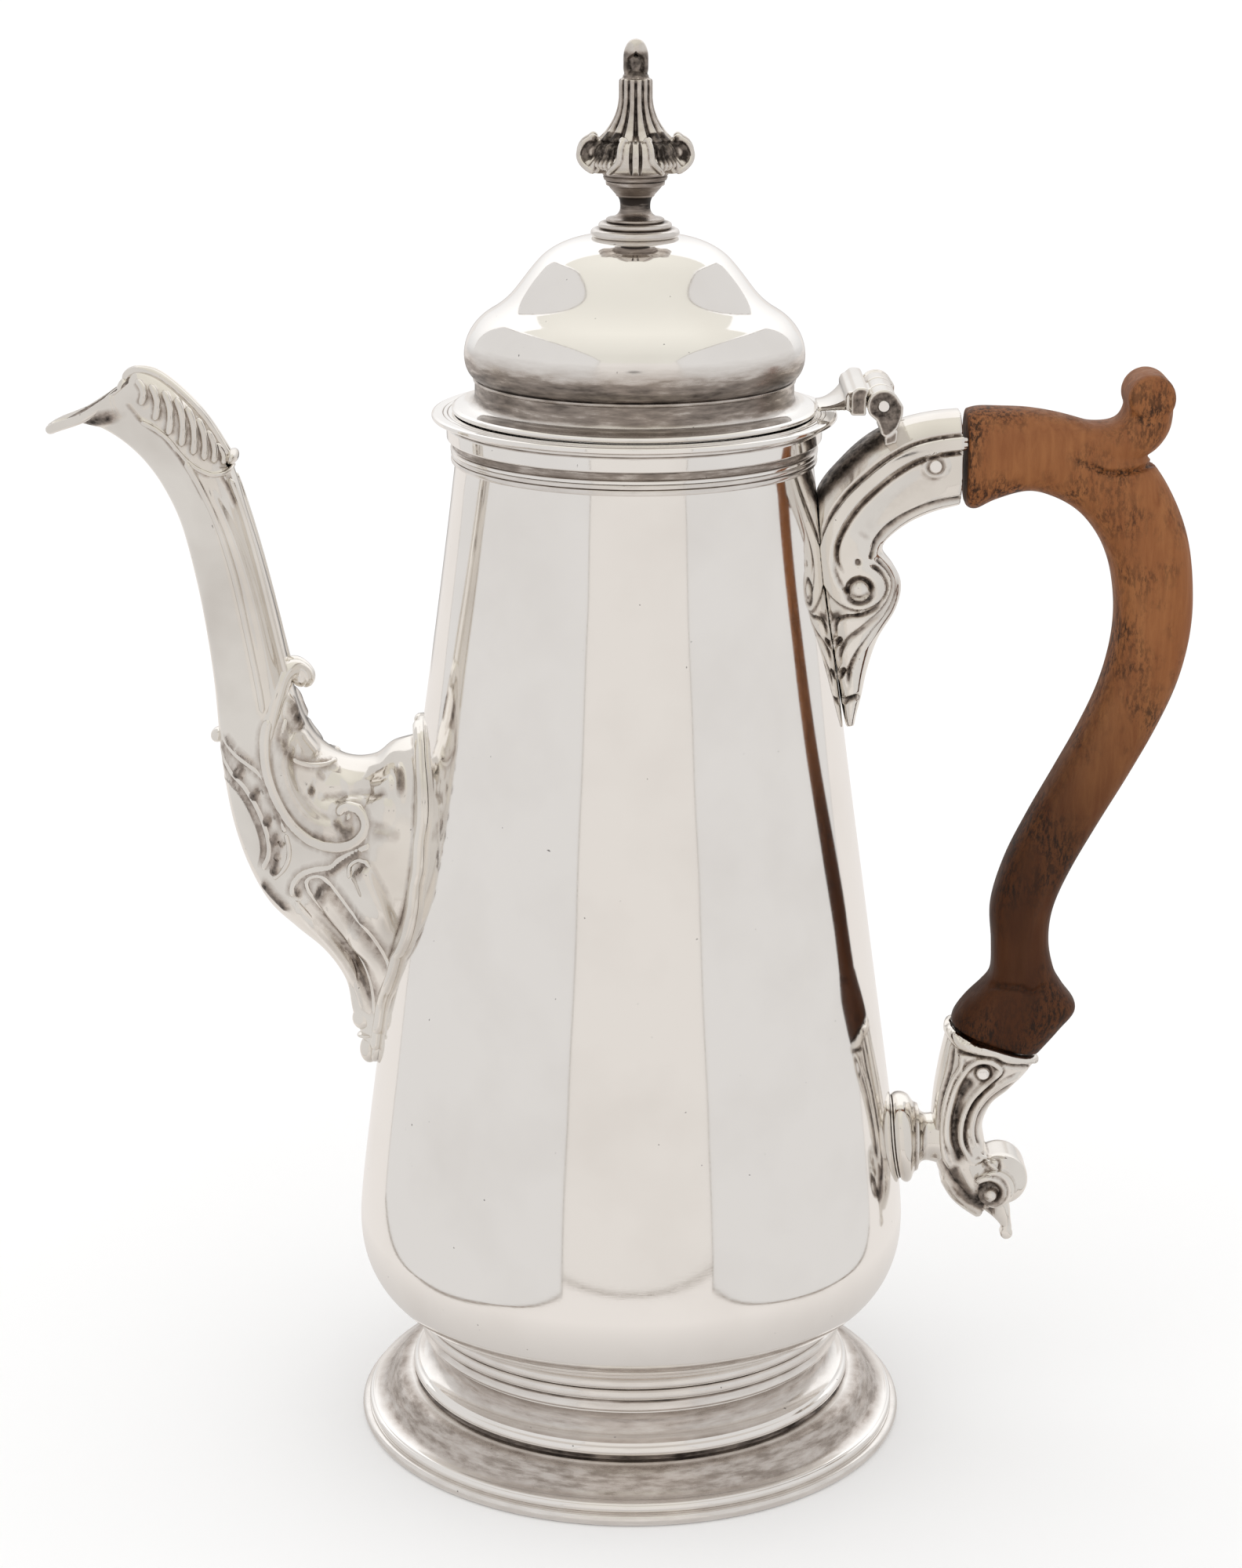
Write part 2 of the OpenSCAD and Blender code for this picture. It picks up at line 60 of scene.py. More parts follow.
def low(node):
    """Lowest corner of a CAD node, in millimetres."""
    return np.array(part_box(node)[0]) / MM


def high(node):
    """Highest corner of a CAD node, in millimetres."""
    return np.array(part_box(node)[1]) / MM


# ---- sizes taken from the frame ----

belly_r = high("body")[0]
body_top = high("body")[2]
underside = low("body")[2]
sheet = high("body_bottom")[2] - underside
neck_z = low("rim_reeding")[2]
cove_z = high("rim_reeding")[2]
neck_r = high("lid_bezel")[0] + 2
mouth = high("rim_moulding")[2]
flange_r = high("rim_moulding")[0]
foot_r = high("foot_rim_wire")[0]
wire_top = high("foot_rim_wire")[2]
collet_low = low("foot_collet")[2]
lid_r = high("lid_rim")[0]
lid_low = low("lid_rim")[2]
lid_band = high("lid_rim")[2]
lid_top = high("lid_dome")[2]
crown_z = low("finial_base")[2]
cup_z = low("finial_cup")[2]
brim_low = low("finial_crown")[2]
tip_z = high("finial_crown")[2]
hinge_x, _, hinge_z = [v / MM for v in frame["joints"][0]["pos_m"]]
hinge_half = high("hinge_pin")[1]
bottom_r = high("body_bottom")[0]
belly_z = underside + 16
belly_power = 2.3

owner = {n: b for b, nodes in frame["record"]["behaviour"]["bodies"].items() for n in nodes}
slot_of = {s["node"]: s["material_slot"] for s in frame["record"]["subparts"]}


# ---- curves ----

def bezier(p0, p1, p2, p3, steps=16):
    """Cubic curve from p0 to p3."""
    t = np.linspace(0, 1, steps + 1)[:, None]
    p0, p1, p2, p3 = (np.array(p, float) for p in (p0, p1, p2, p3))
    return (1 - t) ** 3 * p0 + 3 * t * (1 - t) ** 2 * p1 + 3 * t * t * (1 - t) * p2 + t ** 3 * p3


def arc(centre, radius, start, end, steps=12):
    """Part of a circle, from one angle to another in degrees."""
    a = np.radians(np.linspace(start, end, steps + 1))
    return np.column_stack((centre[0] + radius * np.cos(a), centre[1] + radius * np.sin(a)))


def spline(points, steps):
    """Catmull-Rom curve through points, which may be single points or whole rings of them."""
    p = np.array(points, float)
    p = np.concatenate(([2 * p[0] - p[1]], p, [2 * p[-1] - p[-2]]))
    out = []
    for i in range(1, len(p) - 2):
        a, b, c, d = p[i - 1:i + 3]
        for t in np.arange(steps) / steps:
            out.append(0.5 * (2 * b + (c - a) * t + (2 * a - 5 * b + 4 * c - d) * t ** 2
                              + (3 * b - a - 3 * c + d) * t ** 3))
    out.append(p[-2])
    return np.array(out)


def run_along(points):
    """How far along a path each of its points is."""
    return np.concatenate(([0], np.cumsum(np.linalg.norm(np.diff(points, axis=0), axis=1))))


def even(points, count):
    """The same curve as count points, evenly spaced along it."""
    p = np.array(points, float)
    run = run_along(p)
    at = np.linspace(0, run[-1], count)
    return np.column_stack([np.interp(at, run, p[:, k]) for k in range(p.shape[1])])


def outline(*parts):
    """Closed outline from corners (r, z, rounding) and stretches of curve, with the corners rounded off."""
    points = []
    for part in parts:
        if isinstance(part, tuple):
            points.append(part)
        else:
            points += [(r, z, 0) for r, z in part]
    p = np.array([q[:2] for q in points], float)
    out = []
    for i, q in enumerate(points):
        corner, back, on = p[i], p[i - 1] - p[i], p[(i + 1) % len(p)] - p[i]
        if q[2] == 0:
            out.append(corner)
            continue
        back_l, on_l = np.linalg.norm(back), np.linalg.norm(on)
        half = 0.5 * math.acos(np.clip(back @ on / (back_l * on_l), -1, 1))
        run = min(q[2] / math.tan(half), 0.48 * back_l, 0.48 * on_l)
        start, end = corner + back / back_l * run, corner + on / on_l * run
        for t in np.linspace(0, 1, 6):
            out.append((1 - t) ** 2 * start + 2 * t * (1 - t) * corner + t ** 2 * end)
    return np.array(out)


def smoothstep(low_edge, high_edge, x):
    """Smooth change from 0 at one edge to 1 at the other. The edges may come in either order."""
    t = np.clip((x - low_edge) / (high_edge - low_edge), 0, 1)
    return t * t * (3 - 2 * t)


# ---- the body's outline, which every casting is fitted to ----

def belly_turn(inset, steps=36):
    """The rounded turn from the underside up to the belly, inset by a wall's thickness."""
    a = np.radians(np.linspace(90, 0, steps + 1))
    reach = belly_r - bottom_r
    r = bottom_r + (reach - inset) * np.abs(np.cos(a)) ** (2 / belly_power)
    z = belly_z - (belly_z - underside - inset) * np.abs(np.sin(a)) ** (2 / belly_power)
    return np.column_stack((r, z))


taper_line = bezier((belly_r, belly_z), (belly_r, belly_z + 11), (neck_r + 7.2, neck_z - 60),
                    (neck_r, neck_z), 90)


def body_r(z):
    """Radius of the body's outside at a height above the belly."""
    return np.interp(z, taper_line[:, 1], taper_line[:, 0])


def clear_of_body(points, gap=0.03):
    """Moves points that lie inside the body out to its surface."""
    r = np.hypot(points[..., 0], points[..., 1])
    skin = body_r(points[..., 2]) + gap
    grow = np.where(r < skin, skin / np.maximum(r, 1e-6), 1)
    out = points.copy()
    out[..., 0] *= grow
    out[..., 1] *= grow
    return out


# ---- materials ----

class Nodes:
    """Short way to write a material's nodes."""

    def __init__(self, name):
        self.material = bpy.data.materials.new(name)
        self.material.use_nodes = True
        self.tree = self.material.node_tree
        self.shader = self.tree.nodes["Principled BSDF"]

    def add(self, kind, inputs=None, **settings):
        """New node, with its inputs set to values or linked to other nodes' outputs."""
        n = self.tree.nodes.new(kind)
        for key, value in settings.items():
            setattr(n, key, value)
        for key, value in (inputs or {}).items():
            self.feed(n.inputs[key], value)
        return n

    def feed(self, socket, value):
        """Links a socket to another node's output, or sets it to a plain value."""
        if isinstance(value, bpy.types.NodeSocket):
            self.tree.links.new(value, socket)
        else:
            socket.default_value = value

    def position(self, scale=(1, 1, 1), turn=(0, 0, 0)):
        """Place on the piece, scaled and turned."""
        place = self.add("ShaderNodeTexCoord").outputs["Object"]
        mapped = self.add("ShaderNodeMapping", {"Vector": place, "Scale": scale, "Rotation": turn})
        return mapped.outputs["Vector"]

    def noise(self, vector, scale, detail=3.0, roughness=0.55, distortion=0.0):
        """Soft noise from 0 to 1."""
        n = self.add("ShaderNodeTexNoise", {"Vector": vector, "Scale": scale, "Detail": detail,
                                            "Roughness": roughness, "Distortion": distortion})
        return n.outputs["Fac"]

    def ramp(self, value, start, end, low_value=0.0, high_value=1.0):
        """Straight change from one value to another between start and end."""
        n = self.add("ShaderNodeMapRange", {"Value": value, "From Min": start, "From Max": end,
                                            "To Min": low_value, "To Max": high_value})
        return n.outputs["Result"]

    def math(self, operation, a, b):
        """Sum, difference or product of two values. Sums are held to 0 to 1."""
        n = self.add("ShaderNodeMath", {0: a, 1: b}, operation=operation, use_clamp=operation == "ADD")
        return n.outputs[0]

    def mix(self, factor, a, b):
        """Colour between a and b."""
        return self.add("ShaderNodeMix", {0: factor, 6: a, 7: b}, data_type="RGBA").outputs[2]

    def set(self, name, value):
        """Feeds one of the shader's inputs."""
        self.feed(self.shader.inputs[name], value)


SILVER = (0.905, 0.885, 0.86, 1)
CAST_SILVER = (0.835, 0.805, 0.76, 1)
# Colours of tarnish, also used as painted shade in the hollows
WARM_TARNISH_AND_SHADE = (0.40, 0.345, 0.305, 1)
DARK_TARNISH_AND_SHADE = (0.04, 0.033, 0.029, 1)


def silver_material(name, colour, shine, tarnish_and_shade, patches, streaks):
    """Polished silver: tarnish and painted shade in the mesh's hollows, faint cloudy patches, fine scratches and
    pits.
    """
    m = Nodes(name)
    here = m.position()
    hollow = m.add("ShaderNodeAttribute", attribute_name="hollow").outputs["Fac"]
    blotch = m.noise(m.position(streaks), 480, 4, 0.6)
    cloud = m.noise(here, 55, 3, 0.5)
    uneven = m.ramp(blotch, 0.3, 0.7, 0.7, 1.22)
    # Darkening in the hollows: partly real tarnish, partly painted shade where shade falls in crevices and
    # recesses
    dirt = m.math("MULTIPLY", m.math("MULTIPLY", hollow, uneven), tarnish_and_shade)
    haze = m.math("MULTIPLY", m.ramp(cloud, 0.45, 0.75), patches)
    pits = m.ramp(m.noise(here, 1100, 1, 0.4), 0.81, 0.84, 0, 0.7)
    warm = m.mix(m.math("ADD", m.ramp(dirt, 0.08, 0.65), haze), colour, WARM_TARNISH_AND_SHADE)
    dark = m.mix(m.math("ADD", m.ramp(dirt, 0.5, 1.05), pits), warm, DARK_TARNISH_AND_SHADE)
    m.set("Base Color", dark)
    m.set("Metallic", 1.0)
    fine = m.noise(m.position((1, 1, 6)), 700, 2, 0.6)
    rough = m.math("ADD", m.ramp(fine, 0.3, 0.7, shine, shine + 0.05), m.math("MULTIPLY", dirt, 0.35))
    m.set("Roughness", rough)
    scratches = m.noise(m.position((0.35, 0.35, 5), (0.2, 0.1, 0)), 1500, 2, 0.5)
    waves = m.noise(here, 38, 2, 0.4)
    surface = m.math("ADD", m.math("MULTIPLY", scratches, 0.02), m.math("MULTIPLY", waves, 0.6))
    bump = m.add("ShaderNodeBump", {"Height": surface, "Strength": 0.12, "Distance": 0.0006})
    m.set("Normal", bump.outputs["Normal"])
    return m.material


def wood_material():
    """Rubbed fruitwood: straight grain, darker at the lower end, with worn black stain left in patches."""
    m = Nodes("rubbed_fruitwood")
    lean = (0, math.radians(-22), 0)
    here = m.position()
    grain = m.noise(m.position((1, 1, 0.13), lean), 620, 4, 0.6, 0.4)
    fibre = m.noise(m.position((1, 1, 0.07), lean), 2600, 2, 0.6)
    broad = m.noise(m.position((1, 1, 0.4), lean), 60, 3, 0.55)
    axes = m.add("ShaderNodeSeparateXYZ", {"Vector": here}).outputs
    lean_in = m.math("SUBTRACT", axes["X"], 0.07)
    worn = m.math("SUBTRACT", axes["Z"], m.math("MULTIPLY", lean_in, -0.9))
    aged = m.math("MULTIPLY", m.ramp(worn, 0.172, 0.108), 0.98)
    light = (0.315, 0.128, 0.045, 1)
    middle = (0.215, 0.074, 0.024, 1)
    dark = (0.02, 0.0045, 0.0014, 1)
    base = m.mix(m.ramp(grain, 0.3, 0.7), light, middle)
    base = m.mix(m.ramp(broad, 0.35, 0.7, 0, 0.75), base, middle)
    base = m.mix(m.math("MULTIPLY", aged, m.ramp(broad, 0.3, 0.65, 1.0, 0.72)), base, dark)
    hollow = m.add("ShaderNodeAttribute", attribute_name="hollow").outputs["Fac"]
    speckle = m.noise(m.position((1, 1, 0.35), lean), 1500, 4, 0.75)
    stained = m.math("ADD", m.ramp(m.noise(here, 75, 3, 0.6), 0.47, 0.66), hollow)
    flecks = m.math("MULTIPLY", m.ramp(speckle, 0.44, 0.58), m.math("MULTIPLY", stained, 0.88))
    m.set("Base Color", m.mix(flecks, base, (0.016, 0.009, 0.006, 1)))
    m.set("Roughness", m.ramp(grain, 0.3, 0.7, 0.4, 0.58))
    m.set("Specular IOR Level", 0.1)
    relief = m.math("ADD", m.math("MULTIPLY", fibre, 0.5), m.math("MULTIPLY", speckle, 0.35))
    bump = m.add("ShaderNodeBump", {"Height": relief, "Strength": 0.35, "Distance": 0.0002})
    m.set("Normal", bump.outputs["Normal"])
    return m.material


sheet_silver = silver_material("polished_silver", SILVER, shine=0.05, tarnish_and_shade=0.95, patches=0.09,
                               streaks=(0.4, 0.4, 2.2))
cast_silver = silver_material("cast_and_chased_silver", CAST_SILVER, shine=0.08, tarnish_and_shade=1.0, patches=0.3,
                              streaks=(1.5, 1.5, 1.5))
fruitwood = wood_material()
look_of = {"silver": sheet_silver, "cast_silver": cast_silver, "wood": fruitwood}


# ---- meshes ----

def grid_faces(rows, columns, close_rows=False, close_columns=False):
    """Four-sided faces over a grid of points."""
    r = np.arange(rows if close_rows else rows - 1)[:, None]
    c = np.arange(columns if close_columns else columns - 1)[None, :]
    r1, c1 = (r + 1) % rows, (c + 1) % columns
    faces = np.stack([r * columns + c, r * columns + c1, r1 * columns + c1, r1 * columns + c], axis=-1)
    return faces.reshape(-1, 4).tolist()


def tube_faces(rows, around):
    """Faces over rings of points, with a flat face at each end."""
    ends = [list(range(around)), [(rows - 1) * around + k for k in range(around)]]
    return grid_faces(rows, around, False, True) + ends


def make(name, points, faces, hollow=None):
    """Mesh object from points in millimetres."""
    mesh = bpy.data.meshes.new(name)
    mesh.from_pydata((np.array(points, float).reshape(-1, 3) * MM).tolist(), [], faces)
    if hollow is not None:
        layer = mesh.attributes.new("hollow", "FLOAT", "POINT")
        layer.data.foreach_set("value", np.array(hollow, np.float32).ravel())
    piece = bpy.data.objects.new(name, mesh)
    bpy.context.scene.collection.objects.link(piece)
    bm = bmesh.new()
    bm.from_mesh(mesh)
    bmesh.ops.remove_doubles(bm, verts=bm.verts, dist=SAME_PLACE)
    bmesh.ops.recalc_face_normals(bm, faces=bm.faces)
    bm.to_mesh(mesh)
    bm.free()
    return piece


def finish_piece(piece, *nodes, sharp=38):
    """Shades a piece, gives it its nodes' material and slot, and makes it ride in their place."""
    node = nodes[0]
    piece.data.shade_smooth()
    piece.data.set_sharp_from_angle(angle=math.radians(sharp))
    piece.data.materials.clear()
    piece.data.materials.append(look_of[slot_of[node]])
    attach(piece, owner[node])
    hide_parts(*nodes)
    return piece


def outline_hollows(points, reach=0.7):
    """How hollow a closed outline is at each of its points, from 0 to 1."""
    p = np.array(points, float)
    loop = np.vstack((p, p[:1]))
    run = run_along(loop)
    total = run[-1]

    def at(distances):
        """Points of the outline at distances along it."""
        distances = np.mod(distances, total)
        return np.column_stack([np.interp(distances, run, loop[:, k]) for k in (0, 1)])

    before, after = at(run[:-1] - reach), at(run[:-1] + reach)
    along = after - before
    normal = np.column_stack((along[:, 1], -along[:, 0]))
    normal /= np.maximum(np.linalg.norm(normal, axis=1), 1e-9)[:, None]
    area = 0.5 * np.sum(loop[:-1, 0] * loop[1:, 1] - loop[1:, 0] * loop[:-1, 1])
    depth = np.sum(((before + after) / 2 - p) * normal, axis=1) * np.sign(area) / reach
    return smoothstep(0.06, 0.5, depth)


def lathe(name, node, points, segments=240, reach=0.7, extra=None, wobble=0.0):
    """Turned piece from a closed outline of (radius, height), out of round by about wobble millimetres."""
    p = np.array(points, float)
    hollow = outline_hollows(p, reach)
    if extra is not None:
        hollow = np.maximum(hollow, extra(p[:, 0], p[:, 1]))
    a = 2 * np.pi * np.arange(segments) / segments
    r, z = p[:, 0][:, None], p[:, 1][:, None]
    dent = np.sin(3 * a + 0.045 * z) + 0.6 * np.sin(5 * a - 0.11 * z + 1) + 0.35 * np.sin(8 * a + 0.2 * z)
    r = r + wobble * dent * smoothstep(0, 10, r)
    grid = np.stack((r * np.cos(a), r * np.sin(a), z + 0 * a), axis=-1)
    piece = make(name, grid, grid_faces(len(p), segments, True, True), np.repeat(hollow, segments))
    return finish_piece(piece, node)


def mesh_points(piece):
    """A piece's points in millimetres."""
    v = np.empty(len(piece.data.vertices) * 3)
    piece.data.vertices.foreach_get("co", v)
    return v.reshape(-1, 3) / MM


def mesh_normals(piece):
    """A piece's unit normals at its points."""
    n = np.empty(len(piece.data.vertices) * 3)
    piece.data.vertex_normals.foreach_get("vector", n)
    return n.reshape(-1, 3)


def set_points(piece, points):
    """Moves a piece's points to places in millimetres."""
    piece.data.vertices.foreach_set("co", (points * MM).ravel())
    piece.data.update()


def blurred(piece, values, times):
    """Values averaged with their neighbours along the mesh's edges, a number of times."""
    e = np.empty(len(piece.data.edges) * 2, np.int64)
    piece.data.edges.foreach_get("vertices", e)
    a, b = e[::2], e[1::2]
    count = np.bincount(e, minlength=len(values)).astype(float)
    out = np.array(values, float)
    for _ in range(times):
        total = np.empty_like(out)
        for k in range(out.shape[1]):
            total[:, k] = (np.bincount(a, out[b, k], len(out)) + np.bincount(b, out[a, k], len(out)))
        out = 0.5 * out + 0.5 * total / np.maximum(count, 1)[:, None]
    return out


def mark_hollows(piece, times, full, extra=None, share=1.0):
    """Writes how hollow the mesh is at each point. A depth of full millimetres or more counts as 1."""
    v, n = mesh_points(piece), mesh_normals(piece)
    depth = np.sum((blurred(piece, v, times) - v) * n, axis=1)
    hollow = smoothstep(0.12 * full, full, depth) * share
    if extra is not None:
        hollow = np.clip(hollow + extra, 0, 1)
    hollow = blurred(piece, hollow[:, None], 2)[:, 0]
    found = piece.data.attributes.get("hollow")
    layer = found or piece.data.attributes.new("hollow", "FLOAT", "POINT")
    layer.data.foreach_set("value", hollow.astype(np.float32))


# ---- relief: drawn on a plane beside the casting and projected onto it ----

# Where the drawings are seen from, in millimetres
DRAWING_EYE = np.array((-2.0, -600.0, 300.0))


def drawn(points, plane):
    """Where points fall on the drawing plane y = -plane, as (x, z). Both sides take the same drawing."""
    t = (-plane - DRAWING_EYE[1]) / (-np.abs(points[:, 1]) - DRAWING_EYE[1])
    eye = DRAWING_EYE[[0, 2]]
    return eye + (points[:, [0, 2]] - eye) * t[:, None]


def distance(points, path):
    """Distance of each point to a path, and how far along the path its nearest place is, from 0 to 1."""
    best = np.full(len(points), 1e9)
    place = np.zeros(len(points))
    run = run_along(path)
    for i in range(len(path) - 1):
        a, d = path[i], path[i + 1] - path[i]
        t = np.clip(((points - a) @ d) / max(d @ d, 1e-12), 0, 1)
        gap = np.linalg.norm(points - a - t[:, None] * d, axis=1)
        closer = gap < best
        best[closer] = gap[closer]
        place[closer] = (run[i] + t[closer] * (run[i + 1] - run[i])) / run[-1]
    return best, place


# Cross-sections of a stroke, from 1 on its middle line to 0 at its edge
SHAPES = {
    "round": lambda u: (1 - u * u) ** 1.5,
    "full": lambda u: np.sqrt(1 - u * u),
    "band": lambda u: smoothstep(1, 0.62, u),
    "line": lambda u: (1 - u) ** 1.3,
}


class Relief:
    """Adds raised and sunk strokes to a height over the points of one casting."""

    def __init__(self, points, normals, plane, side_fade=(0.12, 0.45)):
        self.at = drawn(points, plane)
        self.side = smoothstep(side_fade[0], side_fade[1], np.abs(normals[:, 1]))
        self.height = np.zeros(len(points))
        self.dirt = np.zeros(len(points))

    def stroke(self, path, width, depth, shape="round", ends=(0.15, 0.15), fade=True, dirt=0.0):
        """A line of the drawing, width millimetres to each side, raised by depth or sunk by it."""
        curve = spline(path, 6) if len(path) > 2 else np.array(path, float)
        lo, hi = curve.min(0) - width, curve.max(0) + width
        near = np.where(np.all((self.at > lo) & (self.at < hi), axis=1))[0]
        if len(near) == 0:
            return
        d, place = distance(self.at[near], curve)
        inside = d < width
        near, d, place = near[inside], d[inside], place[inside]
        thinned = np.ones(len(near))
        if ends[0]:
            thinned *= smoothstep(0, ends[0], place) * 0.85 + 0.15
        if ends[1]:
            thinned *= smoothstep(0, ends[1], 1 - place) * 0.85 + 0.15
        amount = SHAPES[shape](d / width) * thinned * (self.side[near] if fade else 1)
        self.height[near] += depth * amount
        self.soil(near, depth, amount, dirt)

    def dome(self, centre, radius, depth, dirt=0.0):
        """A round boss, or a round pit if depth is negative."""
        d = np.linalg.norm(self.at - np.array(centre, float), axis=1) / radius
        amount = np.where(d < 1, np.sqrt(np.maximum(1 - d * d, 0)), 0) * self.side
        self.height += depth * amount
        self.soil(slice(None), depth, amount, dirt)

    def soil(self, where, depth, amount, dirt):
        """Sunk work gathers tarnish and painted shade, and raised work is rubbed clean."""
        if depth > 0:
            self.dirt[where] *= 1 - amount
        self.dirt[where] = np.maximum(self.dirt[where], dirt * amount)

    def plateau(self, path, depth, edge=0.5):
        """Raises everything inside a closed outline of the drawing."""
        p = spline(list(path) + [path[0]], 5)
        x, z = self.at[:, 0], self.at[:, 1]
        inside = np.zeros(len(x), bool)
        for (x0, z0), (x1, z1) in zip(p[:-1], p[1:]):
            if z0 == z1:
                continue
            crosses = (z0 > z) != (z1 > z)
            inside ^= crosses & (x < (x1 - x0) * (z - z0) / (z1 - z0) + x0)
        d, _ = distance(self.at, p)
        self.height += depth * np.where(inside, smoothstep(0, edge, d), 0)


# ---- turned silver: body, rim, lid and foot ----

def make_body():
    """The raised body, with its strainer holes cut through."""
    inner_turn, inner_taper = belly_turn(sheet), taper_line - (sheet, 0)
    points = outline(
        belly_turn(0), taper_line[1:], [(neck_r, body_top), (neck_r - sheet, body_top)],
        inner_taper[::-1], inner_turn[::-1][1:])
    piece = lathe("raised_body", "body", points, 288, wobble=0.022)
    cut_away(piece, strainer_cutter())


def cut_away(piece, cutter):
    """Takes one mesh out of another."""
    cut = piece.modifiers.new("cut", "BOOLEAN")
    cut.operation, cut.object, cut.solver = "DIFFERENCE", cutter, "EXACT"
    apply_modifiers(piece)
    bpy.data.objects.remove(cutter)


def apply_modifiers(piece):
    """Replaces a piece's mesh with what its modifiers make of it."""
    graph = bpy.context.evaluated_depsgraph_get()
    mesh = bpy.data.meshes.new_from_object(piece.evaluated_get(graph))
    piece.modifiers.clear()
    old = piece.data
    piece.data = mesh
    bpy.data.meshes.remove(old)


def strainer_cutter():
    """Pins along X that cut the strainer holes behind the spout."""
    pitch, radius, first_z = 5, 1.3, 93
    around = 20
    points, faces = [], []
    for row in range(5):
        count = 3 + row % 2
        for i in range(count):
            y0, z0 = (i - (count - 1) / 2) * pitch, first_z + row * pitch
            base = len(points)
            for x in (-(belly_r + 4), -(belly_r - 18)):
                for k in range(around):
                    a = 2 * math.pi * k / around
                    points.append((x, y0 + radius * math.cos(a), z0 + radius * math.sin(a)))
            faces += [[base + k, base + (k + 1) % around, base + around + (k + 1) % around, base + around + k]
                      for k in range(around)]
            faces.append([base + k for k in range(around)])
            faces.append([base + around + k for k in range(around)])
    return make("strainer_cutter", points, faces)


def make_rim():
    """The flange, band and cove round the mouth, and the two reeds under them."""
    lip, band = neck_r + 0.72, neck_r + 1.38
    points = outline(
        (neck_r, cove_z, 0), (lip, cove_z, 0.12), (lip + 0.05, cove_z + 0.55, 0.15),
        bezier((neck_r + 0.45, cove_z + 0.7), (neck_r + 0.15, cove_z + 0.95),
               (neck_r + 0.15, cove_z + 1.5), (neck_r + 0.45, cove_z + 1.95), 10),
        (band - 0.25, cove_z + 2.1, 0.1), (band, cove_z + 2.35, 0.2), (band + 0.05, mouth - 2.5, 0.25),
        (band - 0.12, mouth - 2.05, 0.12),
        bezier((band + 0.02, mouth - 1.95), (band + 0.15, mouth - 1.3), (band + 0.9, mouth - 1.1),
               (flange_r - 0.7, mouth - 1.02), 10),
        (flange_r - 0.2, mouth - 0.95, 0.2), (flange_r, mouth - 0.75, 0.25), (flange_r, mouth - 0.2, 0.3),
        (flange_r - 0.45, mouth, 0.2), (flange_r - 1.85, mouth, 0.08), (flange_r - 2, mouth - 0.22, 0.06),
        (flange_r - 2.15, mouth, 0.08), (flange_r - 2.65, mouth, 0.08), (flange_r - 2.8, mouth - 0.22, 0.06),
        (flange_r - 2.95, mouth, 0.08), (neck_r - sheet, mouth, 0.3), (neck_r - sheet, body_top, 0),
        (neck_r, body_top, 0))
    # The cove under the band is darkened: tarnish and painted shade
    lathe("rim_flange_and_cove", "rim_moulding", points, 256, 0.5,
          extra=lambda r, z: 0.7 * smoothstep(1.1, 0.3, np.abs(z - cove_z - 1.3)) * (r < neck_r + 1.2))
    reeds = outline(
        [(neck_r, neck_z + 0.1)],
        arc((neck_r + 0.12, neck_z + 0.72), 0.56, -90, 62), arc((neck_r + 0.2, neck_z + 1.66), 0.46, -62, 90),
        [(neck_r, cove_z)])
    lathe("rim_reeds", "rim_reeding", reeds, 256, 0.35, extra=lambda r, z: 0.26 + 0 * z)


def make_lid():
    """The lid's band and edge, its dome and the bezel ring under it."""
    band = lid_r - 4.1
    inner = neck_r - 2
    points = outline((inner, lid_low, 0.05), (lid_r - 0.35, lid_low, 0.15), (lid_r, lid_low + 0.3, 0.3),
                     (lid_r, lid_low + 0.75, 0.3), (lid_r - 0.55, lid_low + 1.08, 0.25),
                     bezier((lid_r - 0.8, lid_low + 1.1), (lid_r - 2.5, lid_low + 1.2),
                            (band + 0.25, lid_low + 1.35), (band + 0.02, lid_low + 2.9), 14),
                     (band, lid_band - 0.75, 0.05), (band + 0.25, lid_band - 0.6, 0.1),
                     (band + 0.36, lid_band - 0.2, 0.12), (band + 0.15, lid_band, 0.05),
                     (band - 1, lid_band, 0), (band - 1, lid_low + 1.4, 0), (inner, lid_low + 0.8, 0))
    # The foot of the band, under the dome's bulge, is darkened: tarnish and painted shade
    lathe("lid_band_and_edge", "lid_rim", points, 256, 0.8,
          extra=lambda r, z: (0.78 * smoothstep(band + 0.9, band, r)
                              * smoothstep(lid_low + 1.3, lid_low + 2.2, z)))

    bulge = band + 2
    skirt = bezier((band + 0.1, lid_band), (bulge + 0.7, lid_band + 1.5), (bulge + 0.9, lid_band + 8.2),
                   (bulge - 4.9, lid_band + 11.4), 40)
    dome = np.vstack((
        bezier((bulge - 4.9, lid_band + 11.4), (bulge - 9, lid_band + 13.9), (bulge - 9.6, lid_band + 16.2),
               (bulge - 13.2, lid_band + 20.2), 26)[:-1],
        bezier((bulge - 13.2, lid_band + 20.2), (bulge - 15.4, lid_band + 22.6), (bulge - 19, lid_band + 24),
               (7.6, crown_z), 20)))
    points = outline(
        skirt, dome[1:], [(0, lid_top), (0, lid_top - sheet)],
        dome[::-1][:-1] - (sheet * 0.7, sheet * 0.7), skirt[::-1] - (sheet, 0))
    # The dome's lower bulge is darkened: tarnish and painted dark reflection, with painted shade at its foot
    lathe("raised_lid_dome", "lid_dome", points, 256, wobble=0.012,
          extra=lambda r, z: 0.85 * smoothstep(lid_band + 8, lid_band + 1.2, z)
          + 0.3 * smoothstep(lid_band + 0.5, lid_band, z))

    points = outline((inner - 0.8, mouth - 4, 0.1), (inner - 0.4, mouth - 4.2, 0.15),
                     (inner, mouth - 3.9, 0.1), (inner, lid_low + 0.8, 0),
                     (inner - 0.8, lid_low + 0.8, 0))
    lathe("lid_bezel_ring", "lid_bezel", points, 192)


